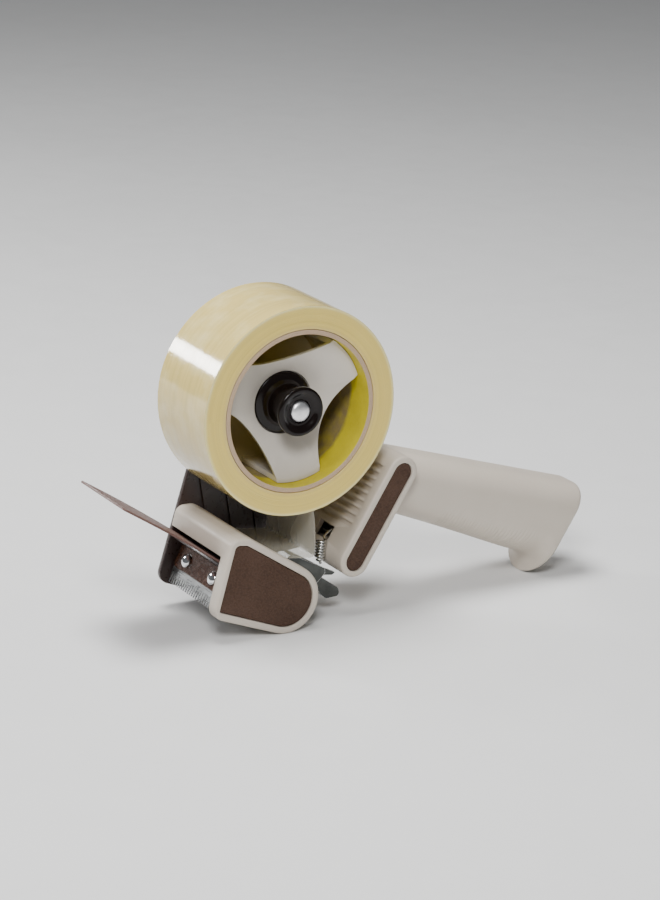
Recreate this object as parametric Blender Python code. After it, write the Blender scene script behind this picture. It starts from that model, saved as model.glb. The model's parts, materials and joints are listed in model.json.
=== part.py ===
"""Hand-held dispenser for 48 mm sealing tape, modelled as the separate pieces it is assembled from.

Lengths are in millimetres until mesh_object turns them into metres. In this script x runs from the
tape axle towards the handle, y runs across the tape away from its middle, and z is the height above
the surface that the dispenser stands on. AXLE_X moves everything so that the whole dispenser is
centred on the origin.
"""

import math

import bmesh
import bpy
from mathutils import Matrix, Vector

MM = 0.001
GAP = 0.3                       # clearance between neighbouring pieces

# Driving dimensions, millimetres
AXLE_X, AXLE_Z = -42.31, 109.3  # tape axle, from the middle of the whole dispenser and the floor
TAPE_WIDTH = 48.0
CORE_BORE = 38.1                # radius inside the 3 inch cardboard core
CORE_WALL = 2.3
ROLL_RADIUS = 52.0
CHEEK_OUTER, CHEEK_INNER = -32.4, -25.4
FRAME_INNER, FRAME_OUTER = 25.4, 28.4
PANEL_THICKNESS = 1.4
HUB_ARM_ANGLES = (37.7, 157.7, 277.7)

# Nose: circles (x, z, radius) that its outline wraps round
NOSE_FRONT = (-41.3, 17.5, 6.0)
NOSE_REAR = (-7.5, 17.3, 17.3)
HOOD_REAR = (-32.9, 43.2, 9.0)
HOOD_FRONT = (-35.4, 47.2, 5.0)
HOOD_WALL = 2.5
LEVER_PIVOT = (-7.5, 17.3)
FINGER = (-20.6, 40.9)
ROLLER_CENTRE = (-21.0, 32.0)
ROLLER_RADIUS = 6.5

# Wiper flap, a flexible sheet that leaves the nose under the hood's lip
WIPER_ROOT = (-41.5, 39.2)
WIPER_SLOPE = math.radians(32.7)
WIPER_LENGTH, WIPER_THICKNESS, WIPER_HALF_WIDTH = 61.2, 1.0, 24.3

# Blade and clamp, in a plane that leans forward at its lower edge
CLAMP_TOP = (-37.6, 32.2)
CLAMP_LEAN = math.radians(23.0)
BLADE_TEETH, BLADE_PITCH, TOOTH_LENGTH = 23, 2.1, 5.5
CLAMP_SCREWS_Y = (-15.0, 12.0)

# Handle: a hollow column across the tape and a sloping grip behind it
COLUMN_TOP = (59.0, 71.3)
COLUMN_BOTTOM = (34.0, 29.0)
COLUMN_RADIUS = 8.3
WALL = 2.5
GRIP_SLOPE = math.radians(15.7)
GRIP_TOP, GRIP_HALF_WIDTH = 91.7, 18.5
GRIP_SEAM = 10.0
GRIP_TOP_ROUND, GRIP_BOTTOM_ROUND, HEEL_BOTTOM_ROUND = 13.5, 15.0, 18.0
# Underside of the grip: distance along it, and height of the underside in the grip's own axes
GRIP_UNDERSIDE = ((34, 50), (37, 54.6), (41, 57.8), (46, 59.5), (56, 59.5), (97, 55.1), (126, 51.5),
                  (136.5, 50.1), (140.5, 47.9), (143.0, 44.2), (144.8, 40.4))
HEEL_FROM, HEEL_TO = 118.0, 138.0    # stretch where the underside grows rounder towards the heel
HEEL_ROUND, BUTT_LEAN = 3.2, 0.276
LEAN_FROM, LEAN_OVER, LEAN_HEIGHT = 110.0, 35.0, 47.0


# ---------------------------------------------------------------- helpers

def clear_scene():
    for obj in list(bpy.data.objects):
        bpy.data.objects.remove(obj)


def plain_material(name, colour, roughness, metallic=0.0):
    made = bpy.data.materials.new(name)
    made.use_nodes = True
    shader = made.node_tree.nodes["Principled BSDF"]
    shader.inputs["Base Color"].default_value = (*colour, 1.0)
    shader.inputs["Roughness"].default_value = roughness
    shader.inputs["Metallic"].default_value = metallic
    made.diffuse_color = (*colour, 1.0)
    return made


def mesh_object(name, points, faces):
    """One object from points in millimetres, with its faces turned outwards."""
    mesh = bpy.data.meshes.new(name)
    mesh.from_pydata([(MM * (AXLE_X + x), MM * y, MM * z) for x, y, z in points], [], faces)
    shape = bmesh.new()
    shape.from_mesh(mesh)
    bmesh.ops.remove_doubles(shape, verts=shape.verts, dist=1e-6)
    bmesh.ops.recalc_face_normals(shape, faces=shape.faces)
    shape.to_mesh(mesh)
    shape.free()
    obj = bpy.data.objects.new(name, mesh)
    bpy.context.scene.collection.objects.link(obj)
    return obj


def loft(name, rings):
    """A closed skin over a row of rings with equal point counts, flat at both ends."""
    count = len(rings[0])
    points = [point for ring in rings for point in ring]
    faces = [tuple(range(count)), tuple(range(len(points) - count, len(points)))]
    for ring in range(len(rings) - 1):
        base = ring * count
        for i in range(count):
            j = (i + 1) % count
            faces.append((base + i, base + j, base + count + j, base + count + i))
    return mesh_object(name, points, faces)


def prism(name, outline, y_from, y_to):
    """An outline of (x, z) points, extruded across the dispenser."""
    return loft(name, [[(x, y, z) for x, z in outline] for y in (y_from, y_to)])


def turned(name, profile, centre, steps=48, closed=True):
    """A profile of (radius, y) points, turned about the line along Y through centre."""
    points, faces = [], []
    count = len(profile)
    for step in range(steps):
        angle = 2 * math.pi * step / steps
        for radius, y in profile:
            points.append((centre[0] + radius * math.cos(angle), y, centre[1] + radius * math.sin(angle)))
    for step in range(steps):
        here, there = step * count, (step + 1) % steps * count
        for i in range(count if closed else count - 1):
            j = (i + 1) % count
            faces.append((here + i, here + j, there + j, there + i))
    return mesh_object(name, points, faces)


def cylinder(name, centre, radius, y_from, y_to, steps=32):
    return turned(name, [(0, y_from), (radius, y_from), (radius, y_to), (0, y_to)], centre, steps, False)


def ring(name, centre, inner, outer, y_from, y_to, steps=48):
    profile = [(inner, y_from), (outer, y_from), (outer, y_to), (inner, y_to)]
    return turned(name, profile, centre, steps)


def swept(name, route, radii, sides=10):
    """A round bar of changing radius along a route that never runs along Y."""
    rings = []
    for i, point in enumerate(route):
        before, after = Vector(route[max(i - 1, 0)]), Vector(route[min(i + 1, len(route) - 1)])
        along = (after - before).normalized()
        across = along.cross(Vector((0, 1, 0))).normalized()
        other = along.cross(across)
        angles = [2 * math.pi * side / sides for side in range(sides)]
        rings.append([Vector(point) + radii[i] * (math.cos(a) * across + math.sin(a) * other)
                      for a in angles])
    return loft(name, rings)


def weld(mesh):
    """Merges points that lie within a thousandth of a millimetre of each other."""
    shape = bmesh.new()
    shape.from_mesh(mesh)
    bmesh.ops.remove_doubles(shape, verts=shape.verts, dist=0.001 * MM)
    bmesh.ops.dissolve_degenerate(shape, edges=shape.edges, dist=0.0001 * MM)
    shape.to_mesh(mesh)
    shape.free()


def combine(obj, tool, operation):
    """Boolean of two objects. The tool is used up."""
    modifier = obj.modifiers.new("shape", "BOOLEAN")
    modifier.operation = operation
    modifier.solver = "EXACT"
    modifier.object = tool
    graph = bpy.context.evaluated_depsgraph_get()
    mesh = bpy.data.meshes.new_from_object(obj.evaluated_get(graph))
    obj.modifiers.clear()
    weld(mesh)
    obj.data = mesh
    bpy.data.objects.remove(tool)


def cut(obj, tool):
    combine(obj, tool, "DIFFERENCE")


def join(obj, tool):
    combine(obj, tool, "UNION")


def wrap(circles, steps_per_turn=48):
    """Outline that runs anticlockwise round circles (x, z, radius), with straight lines between them.

    A negative radius is a hollow corner, passed on its other side.
    """
    turns = []
    for i, (x, z, radius) in enumerate(circles):
        next_x, next_z, next_radius = circles[(i + 1) % len(circles)]
        distance = math.hypot(next_x - x, next_z - z)
        heading = math.atan2(next_z - z, next_x - x)
        turns.append(heading - math.acos((radius - next_radius) / distance))
    outline = []
    for i, (x, z, radius) in enumerate(circles):
        start, end = turns[i - 1], turns[i]
        sweep = (end - start) % (2 * math.pi) if radius > 0 else -((start - end) % (2 * math.pi))
        steps = max(1, math.ceil(abs(sweep) / (2 * math.pi) * steps_per_turn))
        for step in range(steps + 1):
            angle = start + sweep * step / steps
            outline.append((x + radius * math.cos(angle), z + radius * math.sin(angle)))
    return outline


def shrink(circles, by):
    return [(x, z, radius - by) for x, z, radius in circles]


def arc(circle, start, end, steps):
    x, z, radius = circle
    angles = [math.radians(start + (end - start) * step / steps) for step in range(steps + 1)]
    return [(x + radius * math.cos(a), z + radius * math.sin(a)) for a in angles]


def leaning(origin, down, out, points):
    """Points (along, outwards) from origin, with along and outwards given as unit directions."""
    return [(origin[0] + s * down[0] + t * out[0], origin[1] + s * down[1] + t * out[1]) for s, t in points]


def finish(obj, material, pivot=None, sharp=35.0):
    """Gives a piece its material and shading, and puts a moving piece's origin on its axis."""
    obj.data.materials.clear()
    obj.data.materials.append(material)
    obj.data.shade_smooth()
    obj.data.set_sharp_from_angle(angle=math.radians(sharp))
    if pivot:
        place = Matrix.Translation((MM * (AXLE_X + pivot[0]), 0.0, MM * pivot[1]))
        obj.data.transform(place.inverted())
        obj.matrix_world = place


def pan_screw(name, centre, under_head, tip, head_radius=3.2, shank_radius=1.5):
    """Screw along Y: its head stands on the far side of under_head."""
    away = 1 if under_head > tip else -1
    profile = [(0, tip), (shank_radius, tip), (shank_radius, under_head), (head_radius, under_head),
               (head_radius, under_head + 0.8 * away), (head_radius * 0.72, under_head + 1.7 * away),
               (0, under_head + 2.0 * away)]
    return turned(name, profile, centre, 20, False)


# ---------------------------------------------------------------- frame and nose

AXLE = (0.0, AXLE_Z)
HOOD_SCREW = (-33.2, 46.6)
CLAMP_DOWN = (-math.sin(CLAMP_LEAN), -math.cos(CLAMP_LEAN))
CLAMP_BACK = (math.cos(CLAMP_LEAN), -math.sin(CLAMP_LEAN))
WIPER_OUT = (-math.cos(WIPER_SLOPE), math.sin(WIPER_SLOPE))
WIPER_UP = (math.sin(WIPER_SLOPE), math.cos(WIPER_SLOPE))
BLOCK_SCREW = leaning(CLAMP_TOP, CLAMP_DOWN, CLAMP_BACK, [(6.0, 8.5)])[0]
SCREW_HOLE = 1.8
CHEEK = [NOSE_FRONT, NOSE_REAR, HOOD_REAR, HOOD_FRONT]
INSET = [(-43.6, 17.5, 1.5), (-7.5, 17.3, 13.9), (-32.9, 43.2, 5.6), (-35.4, 46.6, 2.6)]


def side_frame(material):
    """Flat plate on the far side, which carries the nose, the tape axle and the handle."""
    boss = (*AXLE, 21.4)
    behind_column = [(*COLUMN_BOTTOM, COLUMN_RADIUS + 0.4), (*COLUMN_TOP, COLUMN_RADIUS + 1.5)]
    hollow_corner = (14.6, 14.1, -4.5)
    outline = wrap([NOSE_FRONT, NOSE_REAR, hollow_corner, *behind_column, boss])
    plate = prism("side_frame", outline, FRAME_INNER, FRAME_OUTER)
    groove_x, groove_pitch, half_groove = -27.8, 15.2, 1.3
    for i in range(4):
        x = groove_x + i * groove_pitch
        lean = math.radians(10.4)
        down, out = (math.sin(lean), -math.cos(lean)), (math.cos(lean), math.sin(lean))
        line = leaning((x, 64.0 - 9.5 * i), down, out, [(-22, -half_groove), (19, -half_groove),
                                                         (19, half_groove), (-22, half_groove)])
        cut(plate, prism("groove", line, FRAME_INNER - 1, FRAME_INNER + 1.0))
    holes = [(AXLE, 6.0 + GAP), (HOOD_SCREW, SCREW_HOLE), (BLOCK_SCREW, SCREW_HOLE),
             (COLUMN_TOP, SCREW_HOLE), (COLUMN_BOTTOM, SCREW_HOLE),
             (ROLLER_CENTRE, 1.5 + GAP), (LEVER_PIVOT, 1.6 + GAP)]
    for centre, radius in holes:
        cut(plate, cylinder("hole", centre, radius, FRAME_INNER - 1, FRAME_OUTER + 1, 24))
    finish(plate, material)


def nose_housing(material):
    """Near cheek and the rounded hood across the tape, moulded in one."""
    nose = prism("nose_housing", wrap(CHEEK), CHEEK_OUTER, FRAME_INNER - GAP)
    back_edge, lip, outside = 4.4, 6.2, 4.0
    back_angle, front_angle = 55.2, 167.0
    roof = [*arc(shrink([HOOD_FRONT], HOOD_WALL)[0], front_angle, 90, 6),
            *arc(shrink([HOOD_REAR], HOOD_WALL)[0], 90, back_angle, 4)]
    front = (math.cos(math.radians(front_angle)), math.sin(math.radians(front_angle)))
    back = (math.cos(math.radians(back_angle)), math.sin(math.radians(back_angle)))
    front_lip = leaning(roof[0], (-front[1], front[0]), front, [(lip, HOOD_WALL + outside), (lip, 0)])
    back_lip = leaning(roof[-1], (back[1], -back[0]), back,
                       [(back_edge, 0), (back_edge, HOOD_WALL + outside)])
    under_hood = [*front_lip, *roof, *back_lip, (25, 30), (25, -10), (-60, -10), (-60, 30)]
    cut(nose, prism("under hood", under_hood, CHEEK_INNER, FRAME_INNER + 1))
    cut(nose, prism("inset", wrap(INSET), CHEEK_OUTER - 1, CHEEK_OUTER + 0.6 + PANEL_THICKNESS + GAP))
    cut(nose, prism("hollow", wrap(shrink([NOSE_FRONT, NOSE_REAR, (-29.0, 38.0, 5.5)], 3.0)),
                    CHEEK_INNER - 2.6, CHEEK_INNER + 1))
    for centre, radius, bore in ((LEVER_PIVOT, 4.5, 1.6), (ROLLER_CENTRE, 4.0, 1.5)):
        join(nose, cylinder("boss", centre, radius, CHEEK_INNER - 3.2, CHEEK_INNER - 0.2, 24))
        cut(nose, cylinder("bore", centre, bore + GAP, CHEEK_INNER - 2.9, CHEEK_INNER + 1, 20))
    join(nose, cylinder("boss", HOOD_SCREW, 3.9, 14.0, FRAME_INNER - 0.6, 24))
    cut(nose, cylinder("bore", HOOD_SCREW, SCREW_HOLE, 15.0, FRAME_INNER + 1, 20))
    finish(nose, material)


def nose_panel(material):
    panel = prism("nose_panel", wrap(shrink(INSET, GAP)), CHEEK_OUTER + 0.6,
                  CHEEK_OUTER + 0.6 + PANEL_THICKNESS)
    finish(panel, material)


def blade_block(material):
    """Cross member that the blade and its clamp are screwed to, and that the wiper lies on."""
    front = leaning(CLAMP_TOP, CLAMP_DOWN, CLAMP_BACK, [(-2.2, 2.6), (13.0, 2.6), (13.0, 4.4), (9.5, 11.0),
                                                        (2.5, 11.6)])
    shelf = leaning(WIPER_ROOT, WIPER_OUT, WIPER_UP, [(-10.5, -0.8 - 2.6), (-10.5, -0.8), (-2.6, -0.8),
                                                      (-2.6, -2.6)])
    block = prism("blade_block", front + shelf, CHEEK_INNER + GAP, FRAME_INNER - GAP)
    cut(block, cylinder("bore", BLOCK_SCREW, SCREW_HOLE, 15.0, FRAME_INNER + 1, 24))
    for y in CLAMP_SCREWS_Y:
        cut(block, clamp_screw("bore", y, SCREW_HOLE, 0.0, 2.0, 9.6, 9.6))
    finish(block, material)


def clamp_slab(name, outline, t_from, t_to):
    """An outline of (y, distance down the clamp), given a thickness from front to back."""
    rings = []
    for t in (t_from, t_to):
        row = leaning(CLAMP_TOP, CLAMP_DOWN, CLAMP_BACK, [(s, t) for _, s in outline])
        rings.append([(x, y, z) for (x, z), (y, _) in zip(row, outline)])
    return loft(name, rings)


def clamp_screw(name, y, shank_radius, head_radius, head_from, shank_to, head_to, steps=20):
    """Round bar square to the clamp, or a screw with a domed head when head_radius is given."""
    depths = [(head_from, shank_radius), (shank_to, shank_radius)]
    if head_radius:
        depths = [(head_from, head_radius * 0.25), (head_from + 0.3, head_radius * 0.72),
                  (head_from + 1.2, head_radius), (head_to, head_radius), (head_to + 0.01, shank_radius),
                  (shank_to, shank_radius)]
    rings = []
    for t, radius in depths:
        loop = []
        for step in range(steps):
            angle = 2 * math.pi * step / steps
            x, z = leaning(CLAMP_TOP, CLAMP_DOWN, CLAMP_BACK, [(5.2 + radius * math.cos(angle), t)])[0]
            loop.append((x, y + radius * math.sin(angle), z))
        rings.append(loop)
    return loft(name, rings)


def blade_group(steel, plastic, chrome):
    near, far = CHEEK_INNER + 0.6, 22.4
    clamp = clamp_slab("blade_clamp", [(near, -1.2), (far, -1.2), (far, 11.0), (near, 11.0)], 0.0, 1.3)
    comb_width = BLADE_TEETH * BLADE_PITCH / 2
    root, tip = 19.4 - TOOTH_LENGTH, 19.4
    outline = [(-comb_width, 1.0), (comb_width, 1.0)]
    for i in range(BLADE_TEETH):
        start = comb_width - i * BLADE_PITCH
        outline += [(start, root), (start - 0.4 * BLADE_PITCH, tip), (start - 0.6 * BLADE_PITCH, tip)]
    outline.append((-comb_width, root))
    blade = clamp_slab("blade", outline, 1.6, 2.2)
    for number, y in enumerate(CLAMP_SCREWS_Y, 1):
        for piece in (clamp, blade):
            cut(piece, clamp_screw("hole", y, SCREW_HOLE, 0.0, -1.0, 3.0, 3.0))
        finish(clamp_screw(f"blade_screw_{number}", y, 1.5, 3.4, -2.5, 8.5, -0.3), chrome)
    finish(clamp, plastic)
    finish(blade, steel)


def wiper(material):
    """The flap and the strip that holds it under the hood. The real sheet bends between the two."""
    half = WIPER_THICKNESS / 2
    for name, start, end, pivot in (("wiper_root", -10.5, -0.2, None),
                                    ("wiper_flap", 0.1, WIPER_LENGTH, WIPER_ROOT)):
        outline = leaning(WIPER_ROOT, WIPER_OUT, WIPER_UP, [(start, -half), (end, -half), (end, half),
                                                            (start, half)])
        finish(prism(name, outline, -WIPER_HALF_WIDTH, WIPER_HALF_WIDTH), material, pivot)


def guide_roller(plastic, rubber, steel):
    half = 18.0
    finish(cylinder("roller_axle", ROLLER_CENTRE, 1.5, CHEEK_INNER - 2.6, FRAME_OUTER - 0.4, 16), steel)
    finish(ring("guide_roller", ROLLER_CENTRE, 1.5 + GAP, 4.5, -half, half, 28), plastic, ROLLER_CENTRE)
    finish(ring("roller_sleeve", ROLLER_CENTRE, 4.5 + GAP, ROLLER_RADIUS, -half, half, 28), rubber,
           ROLLER_CENTRE)


def nip_lever(steel):
    """Sprung lever: a finger in front holds the tape on the roller, a hooked tail takes the spring."""
    near, far, thickness = -20.0, 20.0, 1.6
    arm = wrap([(*LEVER_PIVOT, 3.6), (*FINGER, 1.8)], 20)
    lever = prism("nip_lever", arm, near, near + thickness)
    tail = [(*LEVER_PIVOT, 4.0), (10.0, 19.0, 4.0), (17.5, 24.2, 2.5), (1.5, 31.2, 3.4)]
    join(lever, prism("tail", wrap(tail, 20), near - 0.1, near + thickness - 0.1))
    join(lever, prism("far arm", arm, far - thickness, far))
    join(lever, cylinder("sleeve", LEVER_PIVOT, 3.3, near + 0.4, far - 0.4, 20))
    join(lever, cylinder("finger", FINGER, 1.6, near + 0.4, far - 0.4, 14))
    for length, y_from, y_to in ((14.5, near, -15.2), (18.0, -15.2, -7.6)):
        flange = leaning((6.0, 33.0), (0.862, -0.507), (0.507, 0.862),
                         [(-2.0, -1.6), (length, -1.6), (length, 0), (-2.0, 0)])
        join(lever, prism("flange", flange, y_from, y_to))
    fork = [(16.0, 26.2), (16.0, 17.0), (21.5, 9.6), (24.2, 7.4), (31.0, 7.8), (32.0, 9.8), (31.0, 12.4),
            (21.2, 19.2), (21.2, 20.2), (27.4, 19.4), (29.0, 20.8), (24.6, 22.8), (20.6, 24.6)]
    join(lever, prism("fork", fork, -14.8, -13.2))
    cut(lever, cylinder("bore", LEVER_PIVOT, 1.6 + GAP, near - 1, far + 1, 20))
    finish(lever, steel, LEVER_PIVOT)
    finish(cylinder("lever_pin", LEVER_PIVOT, 1.6, CHEEK_INNER - 2.6, FRAME_OUTER - 0.4, 16), steel)


def far_screws(chrome):
    """Screws through the frame into the nose and the handle."""
    tips = {"hood_screw": (HOOD_SCREW, 16.0), "block_screw": (BLOCK_SCREW, 16.0),
            "column_screw_1": (COLUMN_TOP, 13.0), "column_screw_2": (COLUMN_BOTTOM, 13.0)}
    for name, (centre, tip) in tips.items():
        finish(pan_screw(name, centre, FRAME_OUTER + GAP, tip), chrome)


# ---------------------------------------------------------------- handle

GRIP_ALONG = (math.cos(GRIP_SLOPE), -math.sin(GRIP_SLOPE))
GRIP_UP = (math.sin(GRIP_SLOPE), math.cos(GRIP_SLOPE))
COLUMN = [(*COLUMN_BOTTOM, COLUMN_RADIUS), (*COLUMN_TOP, COLUMN_RADIUS)]
COVER_SCREWS = [leaning((0, 0), GRIP_ALONG, GRIP_UP, [place])[0] for place in ((62.0, 75.5), (128.0, 71.5))]
SPRING_SLOT = (-7.6, 5.8)       # the slot's two ends across the column


def grip_section(half_width, bottom, top, bottom_round, top_round, steps=6):
    """Rounded rectangle of (y, height) points, with the same number of points each time."""
    corners = ((half_width - top_round, top - top_round, top_round, 0),
               (top_round - half_width, top - top_round, top_round, 90),
               (bottom_round - half_width, bottom + bottom_round, bottom_round, 180),
               (half_width - bottom_round, bottom + bottom_round, bottom_round, 270))
    points = []
    for y, height, radius, start in corners:
        points += arc((y, height, radius), start, start + 90, steps)
    return points


def share(value, start, end):
    """How far value has come from start to end, from 0 to 1."""
    return min(1.0, max(0.0, (value - start) / (end - start)))


def grip(name, inset=0.0):
    """The grip's rounded skin, or the space inside it when inset is its wall."""
    last_t, last_bottom = GRIP_UNDERSIDE[-1]
    rows = [(t, bottom, inset) for t, bottom in GRIP_UNDERSIDE]
    for step in range(1, 5):
        angle = math.radians(22.5 * step)
        shrunk = HEEL_ROUND * (1 - math.cos(angle))
        rows.append((last_t + HEEL_ROUND * math.sin(angle), last_bottom, inset + shrunk))
    if inset:
        rows = [row for row in rows if row[0] <= last_t - inset]
    rings = []
    for t, bottom, shrunk in rows:
        rounder = share(t, HEEL_FROM, HEEL_TO) * (HEEL_BOTTOM_ROUND - GRIP_BOTTOM_ROUND)
        bottom_round = GRIP_BOTTOM_ROUND + rounder
        section = grip_section(GRIP_HALF_WIDTH - shrunk, bottom + shrunk, GRIP_TOP - shrunk,
                               bottom_round - shrunk, GRIP_TOP_ROUND - shrunk)
        lean = BUTT_LEAN * share(t, LEAN_FROM, LEAN_FROM + LEAN_OVER)
        loop = []
        for y, height in section:
            along = t + lean * (height - LEAN_HEIGHT)
            x, z = leaning((0, 0), GRIP_ALONG, GRIP_UP, [(along, height)])[0]
            loop.append((x, y, z))
        rings.append(loop)
    return loft(name, rings)


def half_space(name, y_from, y_to):
    return prism(name, [(-20, -20), (220, -20), (220, 140), (-20, 140)], y_from, y_to)


def column_front(distance_down, depth):
    """Point on the column's front wall, from its upper end, at a depth below the surface."""
    length = math.hypot(COLUMN_TOP[0] - COLUMN_BOTTOM[0], COLUMN_TOP[1] - COLUMN_BOTTOM[1])
    down = ((COLUMN_BOTTOM[0] - COLUMN_TOP[0]) / length, (COLUMN_BOTTOM[1] - COLUMN_TOP[1]) / length)
    front = (down[1], -down[0])
    reach = COLUMN_RADIUS - depth
    return (COLUMN_TOP[0] + distance_down * down[0] + reach * front[0],
            COLUMN_TOP[1] + distance_down * down[1] + reach * front[1])


def front_box(name, start, end, depth, y_from, y_to):
    corners = [column_front(start, -1), column_front(end, -1), column_front(end, depth),
               column_front(start, depth)]
    return prism(name, corners, y_from, y_to)


def handle_body(material):
    """Column and near part of the grip, one hollow moulding that is open on its far side."""
    body = grip("handle_body")
    cut(body, half_space("far side", GRIP_SEAM, 40))
    join(body, prism("column", wrap(COLUMN), CHEEK_INNER, FRAME_INNER - GAP))
    inner = prism("column hollow", wrap(shrink(COLUMN, WALL)), CHEEK_INNER + 4.2, FRAME_INNER + 1)
    join(inner, grip("grip hollow", WALL))
    cut(body, inner)
    for centre in (COLUMN_TOP, COLUMN_BOTTOM):
        join(body, cylinder("boss", centre, 3.8, CHEEK_INNER + 3, FRAME_INNER - 0.8, 24))
        cut(body, cylinder("bore", centre, SCREW_HOLE, 12.0, FRAME_INNER + 1, 20))
    for centre in COVER_SCREWS:
        join(body, cylinder("boss", centre, 3.8, -GRIP_HALF_WIDTH + 1.5, GRIP_SEAM - 0.4, 24))
        cut(body, cylinder("bore", centre, SCREW_HOLE, 0.0, GRIP_SEAM + 1, 20))
    cut(body, prism("inset", wrap(shrink(COLUMN, 3.0)), CHEEK_INNER - 1,
                    CHEEK_INNER + 0.6 + PANEL_THICKNESS + GAP))
    rib_pitch, groove_width, groove_depth = 4.0, 2.4, 1.2
    for i in range(9):
        start = 1.4 + i * rib_pitch
        cut(body, front_box("groove", start, start + groove_width, groove_depth, -19.0, 20.0))
    cut(body, front_box("spring slot", 39.4, 46.8, WALL + 1.5, *SPRING_SLOT))
    finish(body, material)


def handle_panel(material):
    panel = prism("handle_panel", wrap(shrink(COLUMN, 3.0 + GAP)), CHEEK_INNER + 0.6,
                  CHEEK_INNER + 0.6 + PANEL_THICKNESS)
    finish(panel, material)


def handle_back_cover(material, chrome):
    cover = grip("handle_back_cover")
    cut(cover, half_space("near side", -40, GRIP_SEAM + GAP))
    cut(cover, grip("grip hollow", WALL))
    cut(cover, prism("column space", wrap(shrink(COLUMN, -GAP)), -30, 30))
    for number, centre in enumerate(COVER_SCREWS, 1):
        join(cover, cylinder("boss", centre, 4.6, GRIP_SEAM + 0.6, GRIP_HALF_WIDTH - 1.0, 24))
        cut(cover, cylinder("hole", centre, SCREW_HOLE, 0, 30, 20))
        cut(cover, cylinder("counterbore", centre, 3.5, GRIP_SEAM + 4.4, 30, 20))
        finish(pan_screw(f"cover_screw_{number}", centre, GRIP_SEAM + 4.7, 1.5), chrome)
    finish(cover, material)


def return_spring(steel):
    """Coil between the column and the lever's tail, as a plain bar of its outer shape."""
    pin = column_front(43.1, 4.1)
    finish(cylinder("spring_pin", pin, 0.8, SPRING_SLOT[0] - 1.5, SPRING_SLOT[1] + 1.5, 12), steel)
    route = [(pin[0] + 0.2, -5.8, pin[1] + 2.4, 0.5), (29.4, -6.0, 38.8, 0.5), (26.2, -7.2, 37.4, 0.6),
             (24.0, -8.6, 35.8, 2.0), (23.0, -9.2, 26.4, 2.0), (23.3, -9.3, 25.6, 0.6),
             (23.6, -9.4, 24.4, 0.5)]
    finish(swept("return_spring", [point[:3] for point in route], [point[3] for point in route]), steel)


# ---------------------------------------------------------------- tape, hub and knob

def tape_axle(steel):
    profile = [(0, -19.4), (5.4, -19.4), (6.0, -18.8), (6.0, 21.8), (9.0, 21.8), (9.0, 25.1), (6.0, 25.1),
               (6.0, 32.0), (0, 32.0)]
    finish(turned("axle", profile, AXLE, 28, False), steel)
    finish(ring("axle_washer", AXLE, 6.0 + GAP, 10.0, 28.7, 29.7, 28), steel)
    nut = prism("axle_nut", arc((*AXLE, 9.2), 0, 300, 5), 30.0, 32.4)
    cut(nut, cylinder("bore", AXLE, 6.0 + GAP, 29, 34, 32))
    finish(nut, steel)


def tape_hub(material):
    """Hub: a dished front with three arms, three pads inside the core, a sleeve and a closed far side."""
    profile = [(10.8, -4.4), (15.8, -4.4), (15.8, -6.9), (35.4, -16.3), (37.8, -16.3), (37.8, 21.5),
               (6.5, 21.5), (6.5, 13.0), (10.8, 13.0)]
    hub = turned("tape_hub", profile, AXLE, 60)
    back_disc = 19.1
    cut(hub, turned("hollow", [(34.8, -13.5), (34.8, back_disc), (12.8, back_disc), (12.8, -2.8)], AXLE, 60))
    waist, bow = 22.5, 58.0
    for arm in HUB_ARM_ANGLES:
        turn = math.radians(arm + 60.0)
        edge = [(waist + bow - math.sqrt(bow**2 - y**2), y) for y in range(-30, 31, 5)]
        window = [*edge, (50, 30), (50, -30)]
        placed = [(x * math.cos(turn) - y * math.sin(turn), AXLE_Z + x * math.sin(turn) + y * math.cos(turn))
                  for x, y in window]
        cut(hub, prism("window", placed, -22, back_disc - 0.2))
    finish(hub, material, AXLE)


def tape_and_core(cardboard, tape):
    half = TAPE_WIDTH / 2
    core_outer = CORE_BORE + CORE_WALL
    finish(ring("tape_core", AXLE, CORE_BORE, core_outer, -half, half, 60), cardboard, AXLE)
    finish(ring("tape_roll", AXLE, core_outer + GAP, ROLL_RADIUS, -half, half, 60), tape, AXLE)


def tape_brake(fibre, steel):
    """Washers and spring in the hub's pocket: the knob presses them to set the drag."""
    finish(ring("friction_washer", AXLE, 6.0 + GAP, 10.4, 11.2, 12.7, 24), fibre, AXLE)
    finish(ring("thrust_washer", AXLE, 6.0 + GAP, 10.4, 9.9, 10.9, 24), steel, AXLE)
    finish(ring("brake_spring", AXLE, 7.2, 9.8, -2.2, 9.6, 24), steel, AXLE)


def knob(black, cap_material):
    profile = [(0, -19.8), (6.3, -19.8), (6.3, -2.6), (10.3, -2.6), (10.3, -4.7), (15.2, -4.7), (15.2, -6.9),
               (11.6, -7.8), (10.0, -9.6), (10.0, -19.8), (12.2, -22.0), (12.2, -24.2), (11.2, -24.9),
               (9.6, -24.6), (7.6, -23.2), (5.6, -23.2), (5.6, -21.4), (0, -21.4)]
    finish(turned("tension_knob", profile, AXLE, 30, False), black, AXLE)
    dome = [(0, -21.7), (5.2, -21.7), (5.2, -23.6), (4.4, -24.6), (2.6, -25.3), (0, -25.6)]
    finish(turned("knob_cap", dome, AXLE, 24, False), cap_material, AXLE)


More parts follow.
